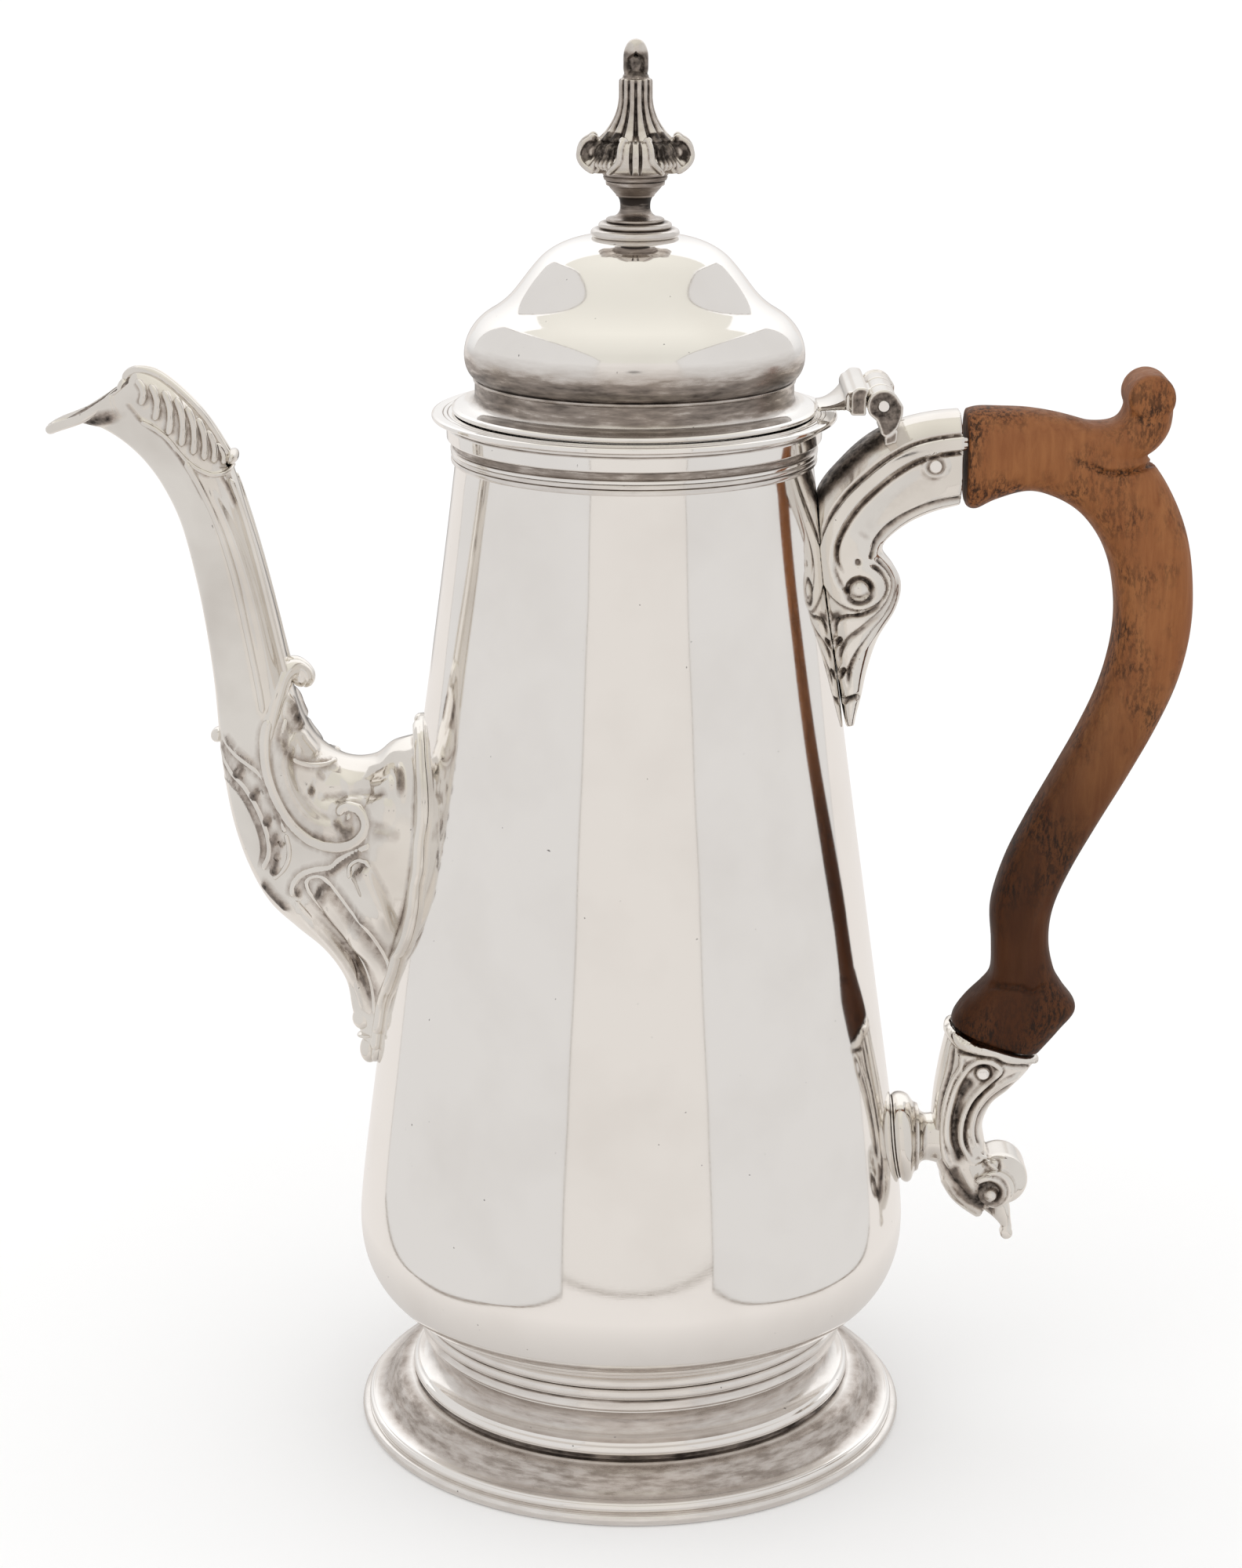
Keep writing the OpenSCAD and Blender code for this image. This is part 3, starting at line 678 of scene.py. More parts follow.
def make_foot():
    """The ringed collet, the spread foot in two tiers and the wire round its edge."""
    collet = foot_r - 11.1
    inner = bottom_r - 0.55
    points = outline(
        (inner, collet_low, 0), (collet - 0.5, collet_low, 0.1), (collet - 0.35, collet_low + 0.5, 0.2),
        (collet - 0.8, collet_low + 1.6, 0.3), (collet - 0.75, collet_low + 2.1, 0.1),
        arc((collet - 0.75, collet_low + 3.35), 1.1, -80, 80),
        arc((collet - 0.6, collet_low + 5.55), 1.05, -80, 80),
        (collet - 0.9, underside - 0.35, 0.1), (collet - 1.2, underside, 0.05), (inner, underside, 0))
    lathe("foot_collet_rings", "foot_collet", points, 256, 0.6, extra=lambda r, z: 0.2 + 0 * z)

    step_r, step_z = foot_r - 10.3, 8.2
    tier = bezier((step_r - 2.5, collet_low - 0.75), (step_r - 4.4, collet_low - 2.6),
                  (step_r - 3.6, step_z + 3.3), (step_r - 0.5, step_z + 2.75), 26)
    skirt = bezier((step_r + 0.5, step_z - 0.12), (foot_r - 4.3, step_z + 0.2), (foot_r - 7, wire_top + 2),
                   (foot_r - 2.1, wire_top + 1.6), 30)
    points = outline(
        (foot_r - 13.5, collet_low, 0), (step_r - 1.9, collet_low, 0.15),
        (step_r - 1.85, collet_low - 0.5, 0.15), tier, (step_r - 0.25, step_z + 2.4, 0.1),
        arc((step_r - 0.45, step_z + 1.35), 0.98, 70, -70),
        (step_r - 0.1, step_z + 0.2, 0.06), (step_r + 0.2, step_z - 0.05, 0.1), skirt,
        (foot_r - 1.95, wire_top + 1.5, 0.04), arc((foot_r - 1.98, wire_top + 0.72), 0.7, 82, -80),
        (foot_r - 2.1, wire_top, 0), (foot_r - 3.6, wire_top, 0),
        skirt[::-1][:-3] - (0.8, 1), (step_r - 1.6, step_z + 0.6, 0.3), (step_r - 2, step_z + 1.6, 0.3),
        tier[::-1] - (1.4, 0.3))

    def worn(r, z):
        """Tarnish that lies on the skirt and in the hollow of the upper tier, with painted dark reflections over
        both.
        """
        on_skirt = smoothstep(foot_r - 10.5, foot_r - 7.5, r) * smoothstep(foot_r - 1.6, foot_r - 4.5, r)
        in_cavetto = smoothstep(step_z + 2, step_z + 4.5, z) * smoothstep(collet_low, collet_low - 2, z)
        return 0.58 * on_skirt + 0.5 * in_cavetto

    lathe("spread_foot", "foot", points, 256, 0.7, extra=worn)

    edge = wire_top / 2
    points = outline((foot_r - 3.2, 0, 0), (foot_r - 1.2, 0, 0.05),
                     arc((foot_r - edge, edge), edge, -75, 70), (foot_r - 1.35, wire_top - 0.12, 0.05),
                     (foot_r - 1.6, wire_top, 0), (foot_r - 3.2, wire_top, 0))
    lathe("foot_wire", "foot_rim_wire", points, 256, 0.4, extra=lambda r, z: 0.22 + 0 * z)


make_body()
make_rim()
make_lid()
make_foot()


# ---- castings: rings of points swept along the plane y = 0 ----

def half_ring(station, count, power, inset=0.0):
    """Half of a ring, from its outer end to its inner end, on the side y > 0.

    A station is (outer x, outer z, inner x, inner z, half width, pear): pear draws the outer end in narrow.
    """
    ox, oz, ix, iz, width, pear = station
    a = np.linspace(0, np.pi, 161)
    u = 0.5 - 0.5 * np.sign(np.cos(a)) * np.abs(np.cos(a)) ** (2 / power)
    w = np.abs(np.sin(a)) ** (2 / power)
    narrow = 0.2 + 0.8 * smoothstep(0.14, 0.5, u)
    w = w * ((1 - pear) + pear * narrow)
    out = np.array((ox, oz), float)
    across = np.array((ix, iz), float) - out
    length = np.linalg.norm(across)
    u = (inset + u * (length - 2 * inset)) / length
    ring = np.column_stack((ox + u * across[0], w * (width - inset), oz + u * across[1]))
    return even(ring, count)


def surface_normals(grid):
    """Unit normals of a grid of points."""
    du, dv = np.gradient(grid, axis=0), np.gradient(grid, axis=1)
    n = np.cross(dv, du)
    return n / np.maximum(np.linalg.norm(n, axis=-1), 1e-9)[..., None]


spout_stations = [
    (-51.4, 78.0, -43.4, 130.2, 15.6, 1.0),
    (-52.7, 85.0, -46.6, 127.8, 14.4, 0.75),
    (-56.6, 91.2, -50.6, 127.4, 12.9, 0.35),
    (-61.4, 95.6, -54.2, 128.8, 11.6, 0.1),
    (-66.2, 100.4, -57.3, 131.6, 10.5, 0),
    (-69.8, 107.2, -59.3, 135.2, 9.5, 0),
    (-72.3, 115.0, -60.7, 139.4, 8.6, 0),
    (-73.8, 123.6, -61.6, 143.6, 7.9, 0),
    (-74.6, 132.2, -62.4, 147.6, 7.3, 0),
    (-75.2, 141.4, -63.4, 152.6, 6.8, 0),
    (-76.3, 151.0, -64.8, 158.8, 6.4, 0),
    (-77.8, 160.2, -66.6, 166.0, 6.1, 0),
    (-80.1, 170.2, -68.7, 173.4, 5.8, 0),
    (-82.9, 176.8, -70.3, 179.4, 5.6, 0),
    (-86.0, 181.5, -72.4, 185.0, 5.4, 0),
    (-89.5, 185.0, -75.6, 190.0, 5.2, 0),
    (-93.3, 187.5, -79.5, 194.4, 5.0, 0),
    (-97.2, 188.9, -83.6, 197.5, 4.8, 0),
    (-100.8, 188.2, -87.3, 198.3, 4.5, 0),
    (-103.1, 187.2, -89.0, 196.4, 4.2, 0),
]
# Half outlines of the flange on the body, as (height, half width), and of where the spout rises from it
flange_edge = [(69, 0), (69.5, 2.2), (71.8, 3.3), (74, 3.2), (75.2, 2.8), (76.6, 3.7), (79, 3.9),
               (81.5, 4.4), (84, 6.6), (86.6, 9.8), (90, 12), (93.8, 13.4), (95.6, 15.4), (99, 17.2),
               (104, 17.8), (108.5, 17), (112, 17.4), (116.5, 16.2), (121, 16.2), (126, 14), (130, 10.4),
               (133, 7.6), (134.8, 3.8), (135.2, 0)]
flange_root = [(70.4, 0), (70.8, 1.2), (73, 2), (77, 2.6), (81, 3.3), (85.5, 6.2), (90, 9.6), (95, 12.2),
               (100, 14.4), (106, 15.4), (114, 15), (120, 13.6), (126, 10.6), (130, 6.4), (131.6, 0)]
SPOUT_AROUND = 84
SPOUT_WALL = 1.3
SPOUT_STEPS = 18
# Middle lines of rods stay this far from the seam between the halves
OFF_SEAM = 0.02


def on_body(half_outline, lift, count):
    """Half ring that follows the body's surface, lift millimetres proud of it, from bottom to top."""
    line = even(spline(half_outline, 8), count)
    z, y = line[:, 0], np.maximum(line[:, 1], 0)
    y[0] = y[-1] = 0
    r = body_r(z) + lift
    return np.column_stack((-np.sqrt(r * r - y * y), y, z))


# Raised rods of the chasing: (drawing plane or None, radius, how far the middle stands proud, path).
# Points with no drawing plane are (x, y, z) in millimetres.
spout_rods = [
    # The great C-scroll: a hook over the throat, down the side and into its curl
    (None, 1.75, 0.0, [(-58.6, 0.2, 140.6), (-58.9, 0.6, 142.8), (-60.6, 1.2, 144.2), (-62.4, 2.8, 143.4),
                       (-63.6, 4.6, 140.6), (-64.8, 6.2, 136.4), (-66, 7.4, 131)]),
    (10, 1.15, 0.25, [(-64.6, 137.5), (-65.5, 133), (-65.2, 127.4), (-63.3, 121.8), (-60.6, 117.2),
                      (-57, 114.4), (-53.2, 113.4), (-50, 114.2), (-48, 116.6), (-48.2, 119.4), (-50, 121),
                      (-52, 120.6), (-52.6, 119)]),
    (10, 1.25, 0.2, [(-51.5, 119.2), (-50.8, 119), (-50.2, 118.8)]),
    (10, 0.6, 0.1, [(-61.6, 137.5), (-62.6, 133.4), (-61.2, 130.4), (-58, 128.8), (-54.6, 128.9),
                    (-52.8, 130)]),
    # Ridge over the flutes, and the round-topped borders of both flutes
    (10, 0.75, 0.15, [(-47, 113.8), (-49.8, 112.5), (-52.4, 111.2), (-54.2, 109.6), (-57, 109.2),
                      (-59.6, 108.2), (-61, 106.2), (-61.2, 104)]),
    (10, 0.62, 0.1, [(-46.8, 81.4), (-47, 86.4), (-48.4, 91.6), (-51.4, 96.6), (-55.4, 101.6), (-58.3, 105.6),
                     (-58.2, 107.6), (-56, 108.1), (-53.6, 105.6), (-50, 100.6), (-46.6, 96.2), (-44.2, 91.8),
                     (-43.8, 88.4)]),
    (10, 0.5, 0.05, [(-51, 107.6), (-50.6, 110.2), (-48.6, 111), (-46.8, 109.6)]),
    (10, 0.55, 0.05, [(-60.8, 103.4), (-57.4, 99.4), (-53.2, 94.4), (-50.2, 88.6), (-48.8, 82.4)]),
    # Cartouche edge and the pierced border beside it
    (10, 0.7, 0.2, [(-73, 133.4), (-72.6, 130.2), (-71.4, 127.4), (-69.2, 124.6), (-67.1, 120.8),
                    (-65.5, 116), (-65.2, 112.2), (-66.4, 109.2)]),
    (10, 0.6, 0.1, [(-73, 134.4), (-71.2, 131.4), (-69, 129.2), (-66.4, 127), (-64.6, 123), (-63, 119.4),
                    (-62.2, 116)]),
    (10, 0.5, 0.1, [(-62.2, 116), (-61.6, 112.6), (-62.4, 109.6), (-64.6, 107.4)]),
    # Long ridges of the neck
    (5, 0.6, -0.25, [(-78.6, 182.6), (-76, 177.8), (-73.5, 172), (-71.6, 165.8), (-69.9, 158.5), (-68.3, 150),
                     (-67, 142.5), (-66.2, 137)]),
    (5, 0.6, -0.25, [(-71, 179.6), (-69, 173.6), (-66.8, 165), (-64.9, 156.5), (-63.2, 148.5), (-62, 143.4)]),
    # Borders of the leaf crest
    (5, 0.45, 0.0, [(-86.2, 189.6), (-83.6, 188.2), (-81.4, 186.4), (-79.3, 183.7), (-76.8, 181.4),
                    (-74, 180.2), (-71.6, 180.6), (-70, 182.2)]),
    (None, 0.8, 0.0, [(-89, 0.5, 195.4), (-88.8, 0.5, 197), (-87, 0.6, 197.8), (-83.7, 0.7, 197.1),
                      (-79.7, 0.7, 194), (-75.8, 0.7, 189.7), (-72.7, 0.8, 184.8), (-71, 0.9, 181.6)]),
]
# Flutes of the leaf crest, which come last in the list
crest_flutes = 8
for i in range(crest_flutes):
    f = i / (crest_flutes - 1)
    swell = math.sin(math.pi * f)
    tx, tz = -86.6 + 13.4 * f + 0.9 * swell, 197 - 11.2 * f + 1.7 * swell
    length = 4.6 + 4.6 * swell - 0.8 * f
    spout_rods.append((5, 0.72 - 0.12 * abs(f - 0.5), 0.0, [
        (tx, tz), (tx + 0.9, tz - 0.3 * length), (tx + 1.1 + 0.2 * f, tz - 0.62 * length),
        (tx + 0.5 + 0.7 * f, tz - length)]))


def rod_grid(line, normals, radius, around=14):
    """Round rod along a line, with rounded ends."""
    steps = np.gradient(line, axis=0)
    steps /= np.maximum(np.linalg.norm(steps, axis=1), 1e-9)[:, None]
    side = np.cross(steps, normals)
    side /= np.maximum(np.linalg.norm(side, axis=1), 1e-9)[:, None]
    up = np.cross(side, steps)
    run = run_along(line)
    end = np.minimum(run, run[-1] - run) / (1.6 * radius)
    size = radius * np.sqrt(np.clip(1 - (1 - np.clip(end, 0.01, 1)) ** 2, 0, 1))
    a = 2 * np.pi * np.arange(around) / around
    grid = line[:, None] + size[:, None, None] * (np.cos(a)[None, :, None] * side[:, None] +
                                                  np.sin(a)[None, :, None] * up[:, None])
    return grid.reshape(-1, 3), tube_faces(len(line), around)


def laid_rod(points, normals, plane, radius, proud, path):
    """A rod that lies on the casting's surface where the drawing says."""
    if plane is None:
        line = spline(path, 10)
        out = np.column_stack((line[:, 0] * 0, np.ones(len(line)), line[:, 2] * 0))
        line[:, 1] = np.maximum(line[:, 1], OFF_SEAM)
        return rod_grid(line, out, radius)
    curve = spline(path, 9) if len(path) > 2 else even(path, 10)
    at = drawn(points, plane)
    line, up = [], []
    for q in curve:
        d = np.sum((at - q) ** 2, axis=1)
        near = np.argpartition(d, 4)[:4]
        weight = 1 / (d[near] + 1e-3)
        weight /= weight.sum()
        line.append(weight @ points[near])
        up.append(weight @ normals[near])
    line, up = np.array(line), np.array(up)
    for _ in range(2):
        line[1:-1] = 0.25 * line[:-2] + 0.5 * line[1:-1] + 0.25 * line[2:]
    up /= np.linalg.norm(up, axis=1)[:, None]
    line = line + up * proud
    line[:, 1] = np.maximum(line[:, 1], OFF_SEAM)
    return rod_grid(line, up, radius)


def spout_relief(points, normals):
    """Hollows, holes and grooves between the rods, drawn as seen from the side."""
    low_part = Relief(points, normals, 10)
    draw = low_part.stroke
    # Painted shade in the crease along each larger rod: a shallow sink, darkened
    for plane, radius, _, path in spout_rods:
        if plane == 10 and radius > 0.55:
            draw(path, radius + 1.0, -0.3, "round", (0.05, 0.05), dirt=0.62)
    draw([(-62.2, 134), (-62.4, 128), (-60.8, 122.6), (-58.2, 118.8), (-55, 117), (-52, 117.4)], 2.1,
         -1.5, dirt=0.15)
    draw([(-53.4, 118.6), (-51.8, 116.4), (-49.6, 116.6)], 0.9, -0.7, dirt=1.0)
    draw([(-57.6, 116.2), (-54.8, 115.2)], 0.7, -0.3, dirt=0.6)
    draw([(-59.4, 141.6), (-60.2, 138.4), (-58.6, 135.4)], 1.8, -1.1, dirt=1.0)
    low_part.dome((-58.6, 132.4), 3.0, -0.8)
    low_part.dome((-54.4, 124), 3.4, 0.5)
    draw([(-56.6, 127.2), (-54.8, 126.2)], 0.6, -0.3, "line", dirt=0.9)
    draw([(-56, 129.8), (-53.4, 129.6)], 0.5, -0.2, "line", dirt=0.8)
    draw([(-47, 124.4), (-44.6, 125), (-42.6, 126)], 1.5, -0.6, dirt=0.05)
    draw([(-42, 128.6), (-41.4, 126.4), (-41.5, 123)], 0.9, -0.7, dirt=0.9)
    draw([(-56.5, 122.8), (-50, 123.8), (-43.5, 124.4)], 1.6, 0.6)
    draw([(-47, 116.4), (-44.6, 115.8), (-41.4, 115.6)], 1.2, -0.6, dirt=0.55)
    low_part.dome((-45.4, 120.4), 2.6, -0.5)
    draw([(-48, 113), (-51.6, 110.8), (-54, 109), (-56, 108.8)], 0.7, -0.5, dirt=1.0)
    draw([(-60.3, 106.2), (-60, 104.2)], 0.6, -0.9, dirt=1.0)
    draw([(-56, 105.8), (-53.2, 101.4), (-49.6, 96.8), (-46.8, 92.8), (-45.4, 88.6)], 2.1, -1.9, "round",
         (0.03, 0.4))
    low_part.dome((-55.6, 105), 1.6, -0.2, 0.75)
    draw([(-49, 109.2), (-47.4, 106), (-45.2, 101), (-43.6, 96.4)], 2.4, -1.5, "round", (0.03, 0.4))
    low_part.dome((-49, 108.6), 1.3, -0.2, 0.65)
    draw([(-59.6, 101), (-55.6, 97), (-51.6, 91.6), (-49.2, 86), (-48, 80.6)], 1.2, -1.0, "round",
         (0.15, 0.2), dirt=0.2)
    draw([(-73.2, 127), (-70.4, 124.2), (-68.3, 120.4), (-66.7, 115.8), (-66.4, 112.4), (-67.4, 109.6)],
         0.55, -0.6, "line", fade=False, dirt=1.0)
    # Pits of the pierced border, painted fully dark: painted shade standing in for its openings
    for x, z, size in ((-70, 127.3, 1.0), (-67.4, 123.2, 0.9), (-65.3, 118.3, 0.75), (-64, 114.8, 0.85),
                       (-63.7, 111.6, 0.65), (-64.2, 109, 0.95), (-62.9, 114, 0.5), (-57.4, 124, 0.7)):
        low_part.dome((x, z), size, -0.9, 1.0)
    draw([(-72.4, 134.6), (-70.6, 131.8), (-68.4, 129.8), (-66.6, 128.4)], 0.5, -0.5, "line", fade=False,
         dirt=0.9)
    draw([(-66.6, 107.4), (-64.4, 104.4), (-61.6, 101.4)], 0.9, -0.8, fade=False, dirt=1.0)

    high_part = Relief(points, normals, 5)
    draw = high_part.stroke
    draw([(-75.6, 178.6), (-71.4, 170), (-68.2, 160), (-66, 150), (-64.6, 143)], 1.5, -0.42, "round",
         (0.1, 0.2), dirt=0.06)
    draw([(-80.4, 184.6), (-78.4, 181.4), (-76.6, 178), (-75, 174.4)], 0.5, -0.4, "line", (0.05, 0.3),
         dirt=1.0)
    draw([(-72.3, 180), (-70.9, 177), (-69.9, 174)], 0.55, -0.4, "line", (0.02, 0.3), dirt=1.0)
    high_part.plateau([(-92, 197), (-90.4, 190.4), (-86, 189.8), (-82, 187), (-79.6, 184), (-77, 181.4),
                       (-74, 180.2), (-71.2, 181.1), (-69.4, 183.4), (-71, 190), (-78, 199), (-86, 203)],
                      0.45, 0.6)
    for plane, radius, _, path in spout_rods[-crest_flutes:]:
        draw(path, radius + 0.5, -0.55, "round", (0.1, 0.1), dirt=1.0)
    draw([(-88.6, 192.8), (-86, 189.6), (-82.6, 187), (-79.8, 183.8), (-77, 181), (-74, 179.8)], 0.5,
         -0.3, "line", (0.02, 0.02), dirt=0.8)
    # Hollow side of the lip, darkened: tarnish and painted dark reflection
    draw([(-101.4, 187.9), (-97.4, 189.2), (-93, 190.2), (-89.4, 190.8)], 1.7, -0.5, "round", (0.3, 0.2),
         dirt=0.95)
    height = low_part.height + high_part.height
    return height, np.maximum(low_part.dirt, high_part.dirt)


def half_knob(centre, radii, tilt=0.0, rows=18, around=20):
    """Half of an ellipsoid, on the side y > 0.

    The centre is (x, z), the radii are along x, y and z, and the tilt is in degrees.
    """
    phi = np.linspace(0.02, np.pi - 0.02, rows)[:, None]
    psi = np.linspace(0, np.pi, around)[None, :]
    u = radii[0] * np.cos(phi) + 0 * psi
    w = radii[2] * np.sin(phi) * np.cos(psi)
    y = radii[1] * np.sin(phi) * np.sin(psi)
    c, s = math.cos(math.radians(tilt)), math.sin(math.radians(tilt))
    grid = np.stack((centre[0] + u * c - w * s, y, centre[1] + u * s + w * c), axis=-1)
    faces = grid_faces(rows, around)
    faces += [[k * around, (k + 1) * around, (k + 2) * around - 1, (k + 1) * around - 1]
              for k in range(rows - 1)]
    faces += [list(range(around)), [(rows - 1) * around + k for k in range(around)]]
    return grid.reshape(-1, 3), faces


# Small cast ends that stand clear of the spout: curls, beads and the drop
spout_knobs = [
    ((-59.6, 142.6), (1.9, 2.6, 2.0), -20),
    ((-74.8, 131.7), (1.5, 2.4, 1.3), 40),
    ((-70.9, 182.6), (1.4, 3.6, 1.1), 60),
    ((-66.0, 101.8), (1.2, 1.3, 0.8), 10),
    ((-49.5, 77.3), (2.2, 2.3, 2.3), 0),
    ((-48.9, 74.2), (2.0, 2.2, 0.6), 8),
    ((-48.6, 71.2), (1.8, 2.0, 2.7), 0),
]


def flange_rod():
    """The rounded bead that runs round the spout's flange."""
    line = even(0.72 * on_body(flange_edge, 0.75, 260) + 0.28 * on_body(flange_root, 0.75, 260), 260)
    out = line * (1, 1, 0)
    out /= np.maximum(np.linalg.norm(out, axis=1), 1e-9)[:, None]
    line[:, 1] = np.maximum(line[:, 1], OFF_SEAM)
    return rod_grid(line[14:-2], out[14:-2], 1.05)


def lip_ring(number, inset):
    """Ring of the spout. The last ones dip between the pouring tip and the step below the leaf crest."""
    station = spout_stations[number]
    ring = half_ring(station, SPOUT_AROUND, 2.2, inset)
    dip = {0: 1.35, 1: 0.8, 2: 0.3}.get(len(spout_stations) - 1 - number, 0)
    across = np.array((station[2] - station[0], station[3] - station[1]))
    length = np.linalg.norm(across)
    share = ((ring[:, 0] - station[0]) * across[0] + (ring[:, 2] - station[1]) * across[1]) / length ** 2
    bend = dip * smoothstep(0.02, 0.5, share) * smoothstep(1.0, 0.88, share)
    ring[:, 0] += bend * across[1] / length
    ring[:, 2] -= bend * across[0] / length
    return ring


def make_spout():
    """Both halves of the spout, each a hollow casting with its flange, rods and knobs."""
    count = SPOUT_AROUND
    numbers = range(len(spout_stations))
    outer_keys = [on_body(flange_root, 1.5, count)] + [lip_ring(k, 0) for k in numbers]
    inner_keys = [on_body(flange_root, 0.02, count)] + [lip_ring(k, SPOUT_WALL) for k in numbers]
    inner_keys[0][:, 1] *= 0.85
    outer = spline(outer_keys, SPOUT_STEPS)
    inner = spline(inner_keys, SPOUT_STEPS)
    # The flange: up its edge and in across its top, in small steps
    edge, root = on_body(flange_edge, 0.04, count), on_body(flange_root, 1.5, count)
    steps = [edge]
    for across, lift in ((0.0, 0.6), (0.06, 0.98), (0.2, 1.2), (0.4, 1.28), (0.6, 1.3), (0.8, 1.34)):
        ring = edge * (1 - across) + root * across
        r = np.hypot(ring[:, 0], ring[:, 1])
        ring[:, :2] *= ((body_r(ring[:, 2]) + lift) / r)[:, None]
        steps.append(ring)
    outer = np.concatenate((steps, outer))
    inner = np.concatenate(([inner[0]] * len(steps), inner))
    outer[:, :, 0:2] = clear_of_body(outer)[:, :, 0:2]
    # The lip is rounded over from the outside to the inside
    ahead = outer[-1].mean(0) - outer[-2].mean(0)
    ahead /= np.linalg.norm(ahead)
    lip_out, lip_in = outer[-1], inner[-1]
    bead_steps = 90
    bead_line = even(0.72 * lip_out + 0.28 * lip_in + ahead * 0.1, bead_steps)
    bead_line[:, 1] = np.maximum(bead_line[:, 1], OFF_SEAM)
    bead = rod_grid(bead_line, np.repeat(ahead[None], bead_steps, 0), 0.85)
    extra_out, extra_in = [], []
    for share, forward in ((0.06, 0.25), (0.18, 0.42), (0.36, 0.52)):
        extra_out.append(lip_out * (1 - share) + lip_in * share + ahead * forward)
        extra_in.append(lip_out * share + lip_in * (1 - share) + ahead * forward)
    outer = np.concatenate((outer, extra_out))
    inner = np.concatenate((inner, extra_in))

    smooth_skin = outer.reshape(-1, 3).copy()
    normals = surface_normals(outer)
    normals[:, (0, -1), 1] = 0
    normals /= np.linalg.norm(normals, axis=-1)[..., None]
    rows = len(outer)
    height, dirt = spout_relief(outer.reshape(-1, 3), normals.reshape(-1, 3))
    height = height.reshape(rows, count)
    along = np.arange(rows)
    height *= (smoothstep(0, len(steps), along) * smoothstep(rows - 1, rows - 14, along))[:, None]
    # Thickened lip
    height += 0.42 * np.exp(-((rows - 5 - along) / 4.5) ** 2)[:, None]
    outer = outer + normals * height[..., None]
    outer[:, :, 0:2] = clear_of_body(outer)[:, :, 0:2]

    loops = np.concatenate((outer, inner[:, ::-1]), axis=1)
    width = 2 * count
    # The whole inside of the spout is darkened: tarnish and painted shade
    dirt = np.concatenate((dirt.reshape(rows, count), np.full((rows, count), 0.8)), axis=1)
    caps = []
    for k in range(count - 1):
        a, b = k, width - 1 - k
        caps.append([a, a + 1, b - 1, b])
        last = (rows - 1) * width
        caps.append([last + a, last + b, last + b - 1, last + a + 1])
    for name, node in (("spout_casting_left", "spout_half_left"),
                       ("spout_casting_right", "spout_half_right")):
        side = -1 if low(node)[1] < -1 else 1
        points = [loops.reshape(-1, 3)]
        faces = grid_faces(rows, width, False, True) + caps
        extras = [half_knob(*knob) for knob in spout_knobs]
        extras += [laid_rod(smooth_skin, normals.reshape(-1, 3), *rod) for rod in spout_rods]
        extras += [flange_rod(), bead]
        for more, more_faces in extras:
            start = sum(len(q) for q in points)
            faces += [[start + i for i in f] for f in more_faces]
            points.append(more)
        points = np.concatenate(points) * (1, side, 1)
        piece = make(name, points, faces)
        mark_spout_dirt(piece, points, np.pad(dirt.ravel(), (0, len(points) - dirt.size)))
        finish_piece(piece, node, sharp=50)


def mark_spout_dirt(piece, points, dirt):
    """Hollows from the mesh's own shape, with the drawn tarnish and shade added where its points still are, and
    painted shade over the broad hollows of the raised work.
    """
    v = mesh_points(piece)
    found = {tuple(np.round(p, 4)): d for p, d in zip(points, dirt)}
    extra = np.array([found.get(tuple(np.round(p, 4)), 0) for p in v])
    # Broad hollows of the raised work, such as the C-scroll's bowl, get painted shade
    broad = np.sum((blurred(piece, v, 45) - v) * mesh_normals(piece), axis=1)
    proud = np.hypot(v[:, 0], v[:, 1]) - body_r(v[:, 2])
    share = smoothstep(0.3, 2.2, proud)
    mark_hollows(piece, 8, 0.35, np.maximum(extra, 0.62 * share * smoothstep(0.12, 0.75, broad)), share)


make_spout()


# ---- rough castings: overlapping solids remeshed into one skin ----

def swept(name, stations, count=48, power=2.4, steps=8, fit_body=False):
    """Closed solid through rings that are symmetrical about y = 0."""
    rings = []
    for s in stations:
        half = half_ring(tuple(s) + (0,) * (6 - len(s)), count, power)
        other = half[::-1][1:-1] * (1, -1, 1)
        rings.append(np.concatenate((half, other)))
    grid = spline(rings, steps)
    if fit_body:
        grid = clear_of_body(grid)
    return make(name, grid, tube_faces(*grid.shape[:2]))


def turned_across(name, centre, points, segments=64):
    """Solid turned about a line along Y, from an outline of (radius, distance along Y)."""
    p = np.array(points, float)
    a = 2 * np.pi * np.arange(segments) / segments
    r, y = p[:, 0][:, None], p[:, 1][:, None]
    grid = np.stack((centre[0] + r * np.cos(a), y + 0 * a, centre[1] + r * np.sin(a)), axis=-1)
    return make(name, grid, grid_faces(len(p), segments, True, True))


def barrel(name, centre, radius, half, rounding, segments=64):
    """Rounded barrel about a line along Y, half its length to each side of y = 0."""
    return turned_across(name, centre, outline((0, -half, 0), (radius, -half, rounding),
                                               (radius, half, rounding), (0, half, 0)), segments)


def merge(name, parts, voxel, smooth_times):
    """One clean skin over several overlapping solids."""
    bpy.ops.object.select_all(action="DESELECT")
    for p in parts:
        p.select_set(True)
    bpy.context.view_layer.objects.active = parts[0]
    if len(parts) > 1:
        bpy.ops.object.join()
    piece = parts[0]
    piece.name = piece.data.name = name
    remesh = piece.modifiers.new("skin", "REMESH")
    remesh.mode, remesh.voxel_size, remesh.adaptivity = "VOXEL", voxel * MM, 0.0
    relax = piece.modifiers.new("relax", "SMOOTH")
    relax.factor, relax.iterations = 0.5, smooth_times
    apply_modifiers(piece)
    return piece


def displace(piece, height):
    """Moves each point out along its normal."""
    v, n = mesh_points(piece), mesh_normals(piece)
    set_points(piece, v + n * height[:, None])


